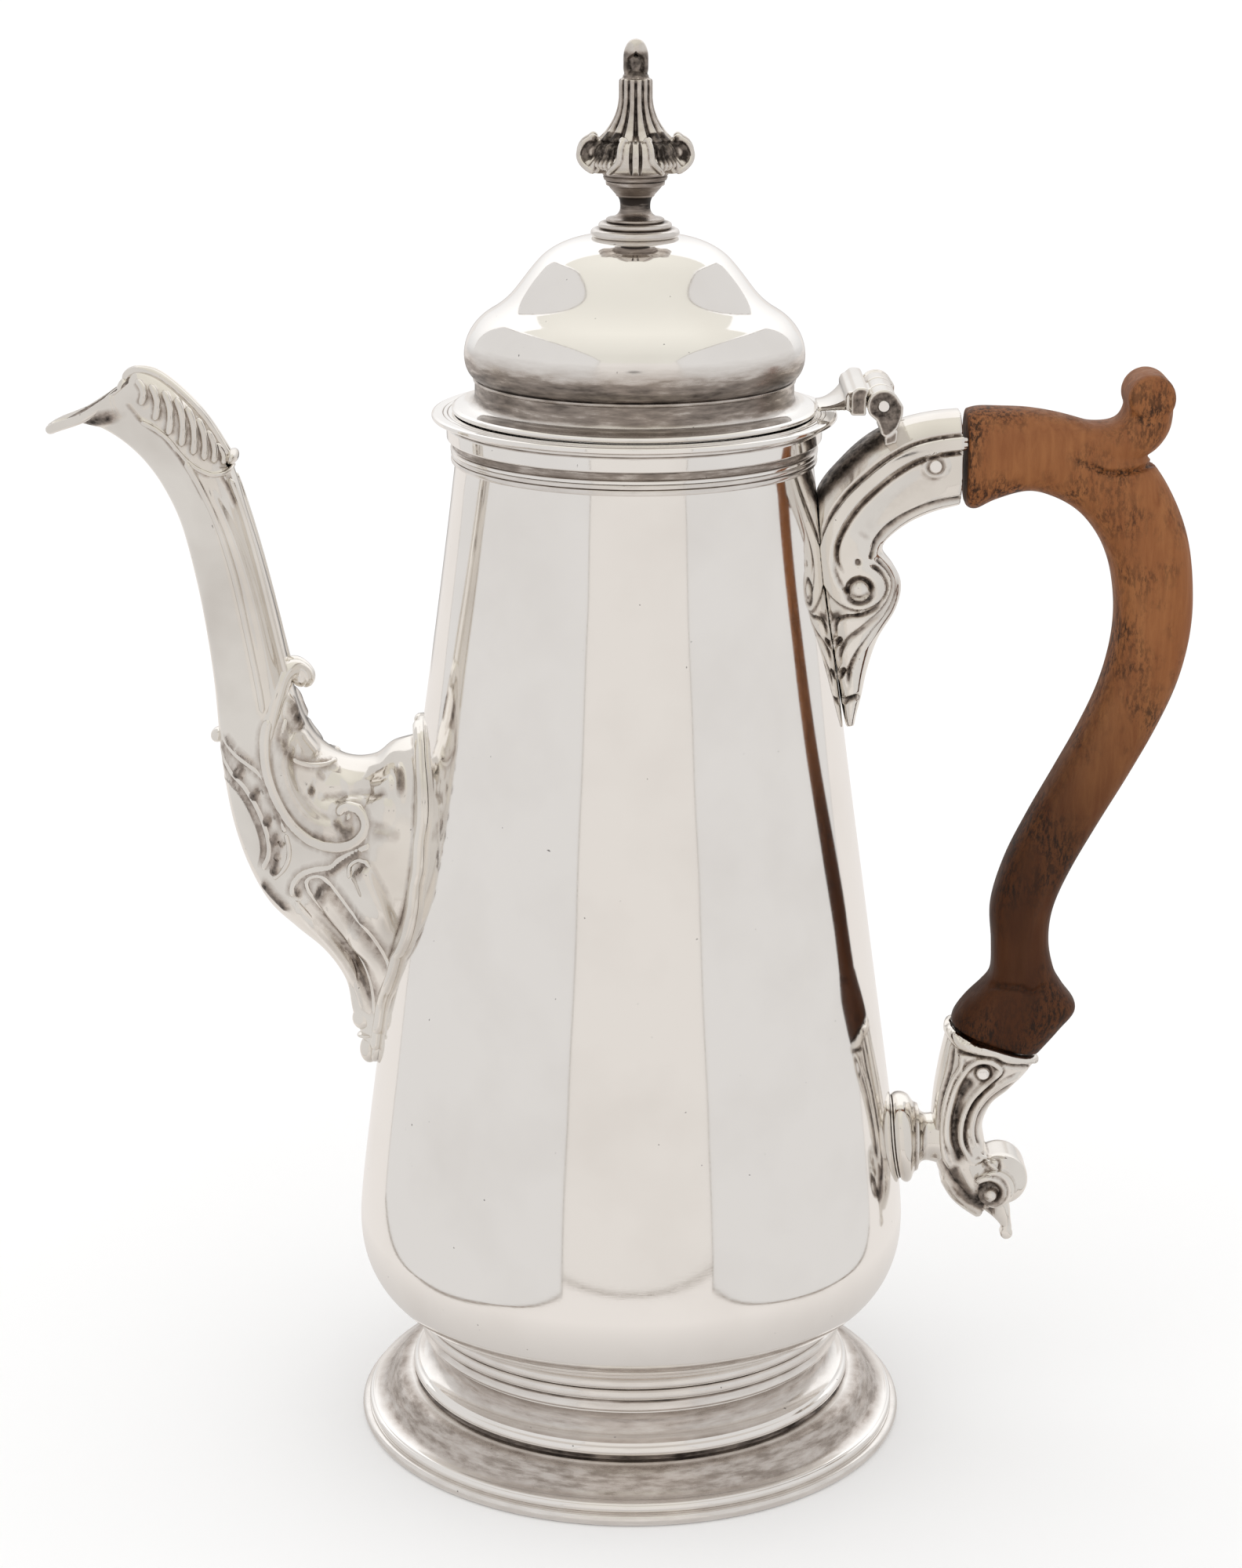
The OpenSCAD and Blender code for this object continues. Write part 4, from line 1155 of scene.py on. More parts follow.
upper_stations = [
    (57.2, 191.4, 57.4, 174.6, 7.8),
    (52.4, 190.9, 53, 173.4, 7.7),
    (47, 189.6, 49, 171.6, 7.5),
    (41.4, 186.9, 46, 169.4, 7.3),
    (36.6, 182.6, 44.2, 167.2, 7.2),
    (32.4, 177, 44.6, 165.4, 7.2),
    (31, 169, 46.2, 163.4, 7.6),
    (31.6, 161.8, 47.6, 160.2, 8.4),
    (33, 155.6, 46.8, 156, 8.4),
    (34.6, 149.6, 43.8, 150.6, 6.6),
    (36, 144, 42, 144.8, 5),
    (37.2, 139, 41, 139.4, 3.4),
    (37.9, 135.6, 40.2, 135.8, 2.2),
    (38.4, 133.6, 39.9, 133.8, 1.2),
]
upper_pin = ((low("upper_handle_pin") + high("upper_handle_pin")) / 2)[[0, 2]]
lower_pin = ((low("lower_handle_pin") + high("lower_handle_pin")) / 2)[[0, 2]]


def make_upper_socket():
    """The cast socket over the handle's upper end, with its scroll, buds and drop."""
    body = swept("upper", upper_stations, fit_body=True)
    piece = merge("upper_handle_socket", [body], 0.27, 3)
    points, normals = mesh_points(piece), mesh_normals(piece)
    relief = Relief(points, normals, 7, (0.2, 0.6))
    draw = relief.stroke
    # Raised ribbon that runs from the mouth into the scroll
    ribbon = [(57.5, 186.6), (53, 186), (49, 184.9), (45.4, 182.9), (42, 180.2), (38.6, 176.9), (36, 173.2),
              (34.4, 169.4), (34, 165.4), (34.9, 161.8), (36.8, 159.2), (39.6, 158), (42, 158.9), (43.2, 161),
              (42.4, 163), (40.4, 164)]
    draw(ribbon, 1.35, 1.0, "band", (0, 0.12))
    draw([(57.5, 185), (53, 184.3), (49.4, 183.1), (46, 181), (42.8, 178.4), (39.6, 175.2), (37.3, 171.8),
          (35.9, 168.6), (35.8, 165.6), (37, 163.4)], 0.5, -0.75, "line", (0, 0.1), dirt=1.0)
    draw([(57.5, 188.3), (52.5, 187.6), (48, 186.2), (44, 183.9), (40.4, 181), (37, 177.6), (34.4, 173.8),
          (32.8, 169.4), (32.5, 165)], 0.5, -0.5, "line", (0, 0.1), dirt=0.7)
    # Painted shade on the saddle between the two ribbons, darkest on faces turned up towards the body
    saddle_shade = smoothstep(47.5, 43, points[:, 0])
    saddle_shade *= smoothstep(0.5, 0.85, -normals[:, 0] * 0.6 + normals[:, 2] * 0.8)
    saddle_shade *= smoothstep(168, 176, points[:, 2])
    # Concave panel, lower ridge and pin collar
    draw([(55, 180.6), (50, 179.2), (45.6, 176), (42, 172), (40, 168.4)], 3.1, -0.9, "round", (0.15, 0.1),
         dirt=0.12)
    draw([(57.5, 176.9), (52.4, 175.9), (48.2, 174.1), (44.8, 171.6), (42.8, 169), (41.8, 166.4)], 0.6,
         -0.75, "line", (0, 0), dirt=1.0)
    draw([(57.5, 175.6), (52.4, 174.6), (48.4, 172.7), (45.2, 170), (43.6, 167.4)], 0.8, 0.35, "full",
         (0, 0.1))
    relief.dome(upper_pin, 2.5, 0.5)
    relief.dome(upper_pin, 1.75, -0.9, 1.0)
    # Scroll eye and the flutes that wrap round it
    eye = (39.8, 160.3)
    relief.dome(eye, 2.7, -0.95, 0.9)
    relief.dome(eye, 1.95, 2.0)
    relief.dome((39.4, 165.4), 0.6, -0.6, 1.0)
    flutes = [
        [(41.8, 165), (43.9, 163.2), (44.6, 160.4), (43.4, 157.6),
         (40.4, 155.9), (37, 155.4), (35.6, 154.2), (35.6, 151.9)],
        [(42.6, 166.3), (45, 164), (45.7, 160.5), (44.4, 157),
         (41.2, 153.9), (38.2, 151.4), (36.6, 149), (36.6, 147)],
        [(43.4, 167.2), (46, 164.4), (46.6, 160.4), (45.3, 156.4),
         (42.3, 152.2), (39.7, 148.6), (38.3, 145.4), (38.2, 142.6)],
    ]
    for path in flutes:
        draw(path, 0.62, -0.85, "round", (0.05, 0.1), dirt=0.85)
        draw([(x + 0.55, z + 0.5) for x, z in path[1:]], 0.5, 0.35, "round", (0.1, 0.2))
    # Notches between the stacked buds, and the drop
    for notch in (((31, 152.4), (34, 149.8), (37, 151.6)), ((33, 147), (35.4, 144.3), (37.8, 146)),
                  ((34.6, 142), (36.4, 140), (40.6, 141))):
        draw(list(notch), 0.75, -0.9, "round", (0, 0.1), dirt=1.0)
    draw([(37.2, 139.4), (36.9, 137.4), (37.6, 135.6)], 0.5, -0.4, "line", dirt=0.8)
    draw([(32, 158.6), (34.4, 155.4), (37, 156.2)], 1.3, -0.4, "round", (0.1, 0.2), dirt=0.85)
    mask = smoothstep(30, 34, np.hypot(points[:, 0], points[:, 1]))
    displace(piece, relief.height * mask)
    set_points(piece, clear_of_body(mesh_points(piece)))
    mark_hollows(piece, 8, 0.13, np.maximum(relief.dirt, 0.95 * saddle_shade))
    finish_piece(piece, "upper_socket", sharp=60)


lower_stations = [
    (58.7, 76.6, 74.9, 70.4, 8.0),
    (57.9, 73.4, 73.2, 67.8, 7.4),
    (57, 68.6, 70.3, 64.6, 6.9),
    (56.2, 62.4, 67.2, 62, 6.6),
    (56, 55.8, 65.5, 58, 6.4),
    (57, 49.2, 65.8, 54.6, 6.3),
    (60, 42.9, 66.8, 51, 6.2),
    (64.6, 39, 69, 47.4, 6),
]
tail_stations = [
    (65.6, 40, 70.8, 42.6, 2.7),
    (67.8, 38.2, 71.3, 39.8, 1.9),
    (69.3, 36.6, 71.5, 37.6, 1.3),
    (70, 35.2, 71.8, 35.7, 1.0),
]


def make_lower_socket():
    """The cast socket under the handle's lower end, with its volute and tail."""
    parts = [
        swept("lower", lower_stations),
        barrel("volute", (69, 46.9), 5, 5.4, 3.4),
        barrel("scroll_end", (67.6, 45.9), 3.7, 6.8, 0.7),
        swept("tail", tail_stations, 32, 2.2, 6),
        barrel("tail_curl", (70.7, 34.8), 1.2, 1.4, 0.6, 32),
    ]
    piece = merge("lower_handle_socket", parts, 0.25, 3)
    points, normals = mesh_points(piece), mesh_normals(piece)
    relief = Relief(points, normals, 7, (0.2, 0.6))
    draw = relief.stroke
    # Leafy rim of the mouth
    draw([(58, 78), (60, 75.2), (62.4, 74.1), (66, 73), (69.6, 72.1), (74, 72.2)], 0.8, 0.7, "full",
         (0, 0), fade=False)
    draw([(59.8, 73.6), (62, 72.9), (66.4, 72.4), (69, 71), (73.6, 70.6)], 0.55, -0.7, "line", (0, 0),
         dirt=1.0)
    # Arched border round the pin, with its hollow panel
    arch = [(59.9, 52), (58.6, 56), (58.5, 60), (59.2, 64), (60.3, 67.6), (61.9, 70.4), (64, 71.7),
            (66.2, 71.5), (67.6, 70.2), (66.8, 68.6), (64.4, 66.4), (62.2, 63.4), (60.9, 59.6),
            (60.9, 56), (62.2, 53), (63.6, 51.6)]
    draw([(61.2, 51), (59.6, 55), (59.4, 60), (60.6, 65), (63, 68.6)], 1.5, -0.9, "round", (0.1, 0.1),
         dirt=0.95)
    draw(arch, 0.62, 0.85, "full", (0.1, 0.1))
    relief.dome(lower_pin, 2.3, -0.3, 0.6)
    relief.dome(lower_pin, 1.75, -0.7, 1.0)
    # Long ridges and grooves on either side
    for path, width, depth, dirt in (
        ([(58.9, 75), (58.4, 70), (57, 64.6), (56.7, 58.6), (57.2, 53), (59.2, 48), (62.6, 44.4)],
         0.5, -0.7, 1.0),
        ([(60.4, 73.2), (60.6, 70.6), (59, 67.6), (57.8, 63), (57.4, 58), (58, 53), (60, 49.2)],
         0.5, 0.55, 0),
        ([(68.6, 69.6), (65.8, 66.8), (63.2, 63.8), (61.9, 60), (61.8, 56), (63, 53)], 0.5, -0.75, 1.0),
        ([(71.4, 69.2), (67.8, 67.2), (65, 64.8), (63.3, 61.4), (62.8, 57.6), (63.8, 54)], 0.45, 0.6, 0),
        ([(72.6, 68.4), (69, 66.4), (66, 63.9), (64.2, 60.8), (63.7, 57.4), (64.8, 54.6)], 0.42, -0.6, 0.9),
    ):
        draw(path, width, depth, "round" if depth < 0 else "full", (0.06, 0.15), dirt=dirt)
    draw([(58.8, 51), (61.4, 46), (65, 42.8), (68, 41.6)], 1.9, -0.6, "round", (0.1, 0.1), dirt=0.9)
    draw([(57.4, 49), (60.6, 44), (65.4, 41)], 0.6, 0.5, "full", (0.1, 0.1), fade=False)
    # Spiral on the end of the volute
    centre = np.array((66.6, 45.4))
    steps = 22
    turn = [centre + (3.2 - 2.1 * k / steps) * np.array((math.cos(2.4 - 0.32 * k), math.sin(2.4 - 0.32 * k)))
            for k in range(steps)]
    draw(turn, 0.62, 0.9, "full", (0.02, 0.02))
    relief.dome(centre, 3.0, -0.5, 0.95)
    relief.dome(centre + (0.2, -0.2), 1.35, 1.7)
    # Small leaf over the volute
    draw([(63.8, 51.6), (65.4, 53), (66.6, 55.6)], 0.4, 0.5, "full")
    draw([(64.2, 53.4), (65.8, 52), (67.8, 50)], 0.4, 0.5, "full")
    draw([(66.4, 53), (68, 52.2), (68.3, 50.2)], 0.45, -0.5, "line", dirt=0.9)
    displace(piece, relief.height)
    mark_hollows(piece, 8, 0.13, relief.dirt)
    finish_piece(piece, "lower_socket", sharp=60)


def make_boss():
    """The turned boss that stands the lower socket off the body, shaped to the body at its root."""
    boss_z = (low("lower_socket_boss")[2] + high("lower_socket_boss")[2]) / 2
    start, end = body_r(boss_z) - 0.9, high("lower_socket_boss")[0]
    profile = outline((0, start, 0), (7.4, start, 0.2), (8, start + 0.9, 0.4), (7.6, start + 1.3, 0.15),
                      arc((7, start + 2.5), 1.5, -50, 75), (7, start + 4.15, 0.1),
                      (6.5, start + 4.5, 0.2), (6.3, start + 5.1, 0.2), (5.4, start + 5.3, 0.3),
                      bezier((5, start + 5.6), (4.2, start + 6.2), (4.3, start + 7), (4.9, end - 0.6), 8),
                      (5, end, 0.1), (0, end, 0))
    around = 96
    a = 2 * np.pi * np.arange(around) / around
    r, x = profile[:, 0][:, None], profile[:, 1][:, None]
    grid = np.stack((x + 0 * a, r * np.cos(a), boss_z + r * np.sin(a)), axis=-1)
    skin = np.sqrt(np.maximum(body_r(grid[..., 2]) ** 2 - grid[..., 1] ** 2, 0)) - body_r(boss_z)
    grid[..., 0] += skin * smoothstep(start + 5.5, start + 1, grid[..., 0])
    boss = make("socket_boss", grid, grid_faces(len(profile), around, True, True),
                np.repeat(outline_hollows(profile, 0.5), around))
    finish_piece(boss, "lower_socket_boss")


def make_pins():
    """The two pins through the sockets and the hinge's pin, each with its ends rounded over."""
    for name, node, centre in (("upper_pin", "upper_handle_pin", upper_pin),
                               ("lower_pin", "lower_handle_pin", lower_pin),
                               ("hinge_rod", "hinge_pin", (hinge_x, hinge_z))):
        half, radius = high(node)[1], (high(node)[2] - low(node)[2]) / 2
        pin = turned_across(name, centre, outline(
            (0, -half, 0), (radius * 0.8, -half + 0.05, 0.1), (radius, -half + 0.35, 0.2),
            (radius, half - 0.35, 0.2), (radius * 0.8, half - 0.05, 0.1), (0, half, 0)), 40)
        mark_hollows(pin, 1, 5)
        finish_piece(pin, node)


make_upper_socket()
make_lower_socket()
make_boss()
make_pins()


# ---- hinge ----

def prism(name, points, y0, y1, bevel=0.25):
    """Solid with a side-view outline, from y0 to y1, with rounded-over ends."""
    p = np.array(points, float)
    area = 0.5 * np.sum(p[:, 0] * np.roll(p[:, 1], -1) - np.roll(p[:, 0], -1) * p[:, 1])
    along = np.roll(p, -1, axis=0) - np.roll(p, 1, axis=0)
    normal = np.column_stack((along[:, 1], -along[:, 0])) * np.sign(area)
    normal /= np.maximum(np.linalg.norm(normal, axis=1), 1e-9)[:, None]
    rings = []
    for y, inset in ((y0, bevel), (y0 + 0.3 * bevel, 0.3 * bevel), (y0 + bevel, 0), (y1 - bevel, 0),
                     (y1 - 0.3 * bevel, 0.3 * bevel), (y1, bevel)):
        q = p - normal * inset
        rings.append(np.column_stack((q[:, 0], np.full(len(q), y), q[:, 1])))
    return make(name, rings, tube_faces(len(rings), len(p)))


def flat_ends(piece):
    """Where a hinge part's end faces are: they keep their tarnish, while its edges are rubbed bright."""
    n = mesh_normals(piece)
    return smoothstep(0.9, 0.985, np.abs(blurred(piece, n, 3)[:, 1]))


def make_hinge():
    """Both leaves of the lid's hinge: the fixed one on the upper socket and the moving one on the lid."""
    c = (hinge_x, hinge_z)
    barrel_r = high("socket_hinge_leaf")[2] - hinge_z
    knuckle = high("lid_hinge_leaf")[1]
    middle = 3.5
    half = hinge_half - 0.3
    comma = outline(arc((0, 0), barrel_r + 0.25, 215, 30, 24), (3.4, 0, 0.8), (3.35, -1.6, 1),
                    (2.6, -3.7, 1), (1.4, -5, 0.6), (0.4, -5.5, 0.4), (-0.3, -5, 0.4), (-0.8, -3.4, 0.6),
                    (-1.2, -2.55, 0.3)) + c
    fixed = []
    for side in (-1, 1):
        y0, y1 = sorted((side * middle + side * 0.15, side * half))
        fixed.append(barrel_part("knuckle", c, barrel_r, y0, y1))
        e0, e1 = sorted((side * (half - 1.3), side * half))
        fixed.append(prism("comma", comma, e0, e1, 0.3))
    plate = outline((0.4, -7, 0.1), (2.4, -6.4, 0.2), (2.9, -1.2, 0.8), (1.2, 0, 0.3), (0.2, -4, 0.3)) + c
    fixed.append(prism("plate", plate, -half + 0.4, half - 0.4, 0.2))
    piece = merge("hinge_fixed_leaf", fixed, 0.2, 2)
    cut_bore(piece, c, 1.12, middle + 0.15, barrel_r + 0.3)
    v = mesh_points(piece)
    ring = np.hypot(v[:, 0] - hinge_x, v[:, 2] - hinge_z)
    ends = np.abs(v[:, 1]) > half - 0.5
    mark_hollows(piece, 6, 0.12, np.maximum(0.95 * smoothstep(2.3, 1.7, ring) * ends, 0.9 * flat_ends(piece)))
    finish_piece(piece, "socket_hinge_leaf", sharp=50)

    block_x = hinge_x - 5.7
    block = outline((-5.7, -1.7, 0.5), (-3, -1.7, 0.3), (-3.05, 1.6, 0.3), (-2.5, 2.75, 0.4),
                    (-3.2, 3.15, 0.5), (-4.6, 3.2, 0.9), (-5.7, 2.2, 0.9)) + c
    step = outline((-6.5, -0.9, 0.4), (-5.2, -1.3, 0.1), (-5.2, 2.5, 0.4), (-6.1, 2.3, 0.5),
                   (-6.6, 1.4, 0.5)) + c
    moving = [
        prism("block", block, -knuckle, knuckle, 0.3),
        prism("step", step, -knuckle + 0.7, knuckle - 0.7, 0.3),
        barrel_part("knuckle", c, barrel_r, -middle, middle),
        prism("web", outline((-3.6, -1.6, 0.1), (-1.4, -1.6, 0.1), (-1, 1.6, 0.3), (-3.6, 1.8, 0.1)) + c,
              -middle, middle, 0.1),
        arm(block_x, knuckle),
    ]
    piece = merge("hinge_lid_leaf", moving, 0.2, 2)
    cut_bore(piece, c, 1.15, 0, middle + 1)
    mark_hollows(piece, 6, 0.12, 0.85 * flat_ends(piece))
    finish_piece(piece, "lid_hinge_leaf", sharp=50)


def barrel_part(name, centre, radius, y0, y1):
    """Hinge knuckle from y0 to y1."""
    return turned_across(name, centre, outline((0, y0, 0), (radius - 0.35, y0, 0.08),
                                               (radius, y0 + 0.35, 0.2), (radius, y1 - 0.35, 0.2),
                                               (radius - 0.35, y1, 0.08), (0, y1, 0)), 72)


def arm(block_x, half):
    """Flared arm from the lid's edge to the hinge block."""
    edge_r = lid_r - 0.2
    rings = []
    for t in np.linspace(0, 1, 14):
        w = 4.6 + (half - 0.4 - 4.6) * t ** 1.7
        x = edge_r + (block_x + 0.3 - edge_r) * t
        low_z = lid_low + 0.55 + 1.2 * t ** 1.3
        high_z = lid_low + 1.6 + (hinge_z + 2.2 - lid_low - 1.6) * t ** 2.2
        across = np.linspace(-1, 1, 13)
        crown = 0.35 * (1 - across ** 2)
        rings.append([(x, w * k, low_z) for k in across]
                     + [(x, w * k, high_z - 0.25 + g) for k, g in zip(across[::-1], crown)])
    return make("arm", rings, tube_faces(len(rings), len(rings[0])))


def cut_bore(piece, centre, radius, gap_half, gap_radius):
    """Opens the pin's bore, and the gap round the other leaf's knuckle where gap_half isn't 0."""
    cutters = [barrel("bore", centre, radius, hinge_half + 3, 0.05, 40)]
    if gap_half:
        cutters.append(barrel("gap", centre, gap_radius, gap_half, 0.05, 72))
    for cutter in cutters:
        cut_away(piece, cutter)


make_hinge()


# ---- handle ----

wide = high("handle")[1] - 0.9
handle_stations = [
    (58.3, 191.4, 58.4, 174.5, wide + 0.7),
    (60.5, 191.9, 60.2, 173.9, wide + 0.9),
    (64, 191.9, 63.8, 175.6, wide + 0.5),
    (70, 191.6, 69.4, 177.1, wide + 0.1),
    (77, 190.2, 74.2, 176, wide),
    (85.6, 187.2, 78.6, 173.4, wide),
    (91.4, 182.2, 82, 169.4, wide),
    (95.6, 175.6, 84.2, 164.8, wide),
    (98.4, 168, 85.4, 159.6, wide),
    (99.6, 159, 85.8, 154, wide),
    (99.4, 151, 85.2, 148, wide - 0.1),
    (97.6, 142.6, 83.4, 141, wide - 0.2),
    (94.2, 134.2, 80.2, 133.4, wide - 0.3),
    (89.6, 125.2, 76, 125.2, wide - 0.4),
    (84.4, 115.8, 71.6, 116.8, wide - 0.6),
    (79.8, 107, 67.8, 108.4, wide - 0.7),
    (77, 99.8, 65.6, 100, wide - 0.8),
    (76.4, 93.4, 66, 92.6, wide - 0.7),
    (77.6, 87.6, 66, 87.2, wide - 0.4),
    (79.4, 84.4, 64.6, 84.8, wide),
    (81.9, 80.4, 61.6, 81.8, wide + 0.5),
    (79.2, 76.4, 59.6, 79, wide + 0.6),
    (75.2, 71.5, 59, 77, wide + 0.4),
]
thumb = (90.2, 194.1)


def make_handle():
    """The wooden handle with its thumb scroll and the two tenons inside the sockets."""
    main = swept("main", handle_stations, 56, 2.5, 8)
    tongue = swept("tongue", [
        (70, 191.2, 70.4, 183, wide - 0.2),
        (77, 189.8, 78, 181.6, wide - 0.3),
        (81.6, 189.3, 85.2, 181.9, wide - 0.3),
        (84.6, 189.9, 90.8, 184, wide - 0.4),
        (85.8, 191.6, 93.7, 187.4, wide - 0.5),
        (86.1, 193.4, 94.5, 191, wide - 0.5),
        (86.4, 195.2, 94.3, 194.4, wide - 0.9),
    ], 48, 2.4, 8)
    scroll = barrel("scroll", thumb, 4.25, wide - 0.5, 3.0, 72)
    lean = math.radians(18)
    tenons = [
        turned_along("tenon", (upper_pin[0] - 3.6, 0, 183), (1, 0, 0), 6, 8),
        turned_along("tenon", (66.8 - 8.4 * math.sin(lean), 0, 73.4 - 8.4 * math.cos(lean)),
                     (math.sin(lean), 0, math.cos(lean)), 5.4, 12),
    ]
    piece = merge("wooden_handle", [main, tongue, scroll] + tenons, 0.42, 6)
    points, normals = mesh_points(piece), mesh_normals(piece)
    relief = Relief(points, normals, 6, (0.1, 0.5))
    draw = relief.stroke
    draw([(91.4, 183.6), (89, 182.2), (85.6, 181.3), (82.4, 181.4), (79, 182.7), (76, 184.4)], 0.8, -0.95,
         "round", (0, 0.5), fade=False, dirt=1.0)
    draw([(86.2, 191.6), (88.8, 190.4), (91.4, 190.8), (93.2, 192.6)], 0.9, -0.3, "round", (0.2, 0.4),
         dirt=0.4)
    draw([(78.4, 118), (74.6, 107), (71.8, 97), (71.3, 91), (72.4, 86.6), (73.6, 83.6)], 1.6, 0.5, "line",
         (0.35, 0.1))
    draw([(65.2, 86.2), (68, 85.9), (71, 85.6), (73.4, 84.8), (76.2, 86.6)], 0.9, -0.65, "round",
         (0.05, 0.1), dirt=0.7)
    draw([(59.4, 190.6), (59.5, 183), (59.6, 176)], 0.6, -0.25, "round", (0, 0), fade=False, dirt=0.5)
    displace(piece, relief.height)
    points = mesh_points(piece)
    near_end = 0.7 * smoothstep(5, 0, points[:, 0] - 58.2) * (points[:, 2] > 150)
    near_end += 0.45 * smoothstep(90, 78, points[:, 2])
    # Painted shade on the handle's inner side, which faces the body
    under = 0.35 * smoothstep(0.2, 0.8, -mesh_normals(piece)[:, 0]) * (points[:, 2] > 95)
    mark_hollows(piece, 10, 0.25, np.maximum(np.maximum(relief.dirt, near_end), under))
    finish_piece(piece, "handle", sharp=60)


def turned_along(name, base, direction, radius, length, segments=64):
    """Plain round bar from base along a direction in the plane y = 0."""
    d = np.array(direction, float)
    side = np.array((-d[2], 0, d[0]))
    a = 2 * np.pi * np.arange(segments) / segments
    ring = radius * (np.cos(a)[:, None] * side + np.sin(a)[:, None] * np.array((0, 1, 0)))
    grid = np.array([np.array(base) + ring, np.array(base) + d * length + ring])
    return make(name, grid, tube_faces(2, segments))


make_handle()


# ---- finial ----

def make_finial():
    """The finial's disc and stem, its stepped cup and its crown."""
    points = outline(
        [(0, crown_z + 0.75), (7.3, crown_z - 0.1)],
        arc((7.0, crown_z + 0.72), 0.72, -80, 75), (6.3, crown_z + 1.45, 0.1),
        arc((5.85, crown_z + 2), 0.52, -60, 85), (5.1, crown_z + 2.55, 0.05),
        arc((4.75, crown_z + 2.9), 0.32, -60, 90),
        bezier((4.3, crown_z + 3.25), (3.1, crown_z + 3.6), (2.62, crown_z + 4.2), (2.6, crown_z + 5.1), 8),
        bezier((2.6, crown_z + 5.2), (2.6, crown_z + 6.1), (2.8, cup_z - 0.3), (3.1, cup_z), 8),
        [(0, cup_z)])
    # The stem and the disc's inner rings are darkened: tarnish and painted dark reflection
    lathe("finial_disc_and_stem", "finial_base", points, 128, 0.4,
          extra=lambda r, z: (0.6 * smoothstep(crown_z + 3.4, cup_z - 0.8, z) + 0.3
                              + 0.3 * smoothstep(7.4, 4.5, r)))
    points = outline([(0, cup_z)], (3.25, cup_z, 0.1), (3.4, cup_z + 0.35, 0.15),
                     bezier((3.55, cup_z + 0.5), (3.9, cup_z + 0.9), (4.3, cup_z + 1.3),
                            (4.7, cup_z + 1.85), 8), (5.05, cup_z + 1.95, 0.1), (5.15, cup_z + 2.6, 0.15),
                     (4.95, cup_z + 2.75, 0.08), (5.4, cup_z + 2.85, 0.1), (5.6, cup_z + 3.4, 0.15),
                     (5.4, cup_z + 3.6, 0.1), (5.7, cup_z + 3.75, 0.1), (5.75, brim_low, 0),
                     [(0, brim_low)])
    # The whole cup is darkened: tarnish and painted dark reflection
    lathe("finial_stepped_cup", "finial_cup", points, 128, 0.4, extra=lambda r, z: 0.7 + 0 * z)
    make_crown()


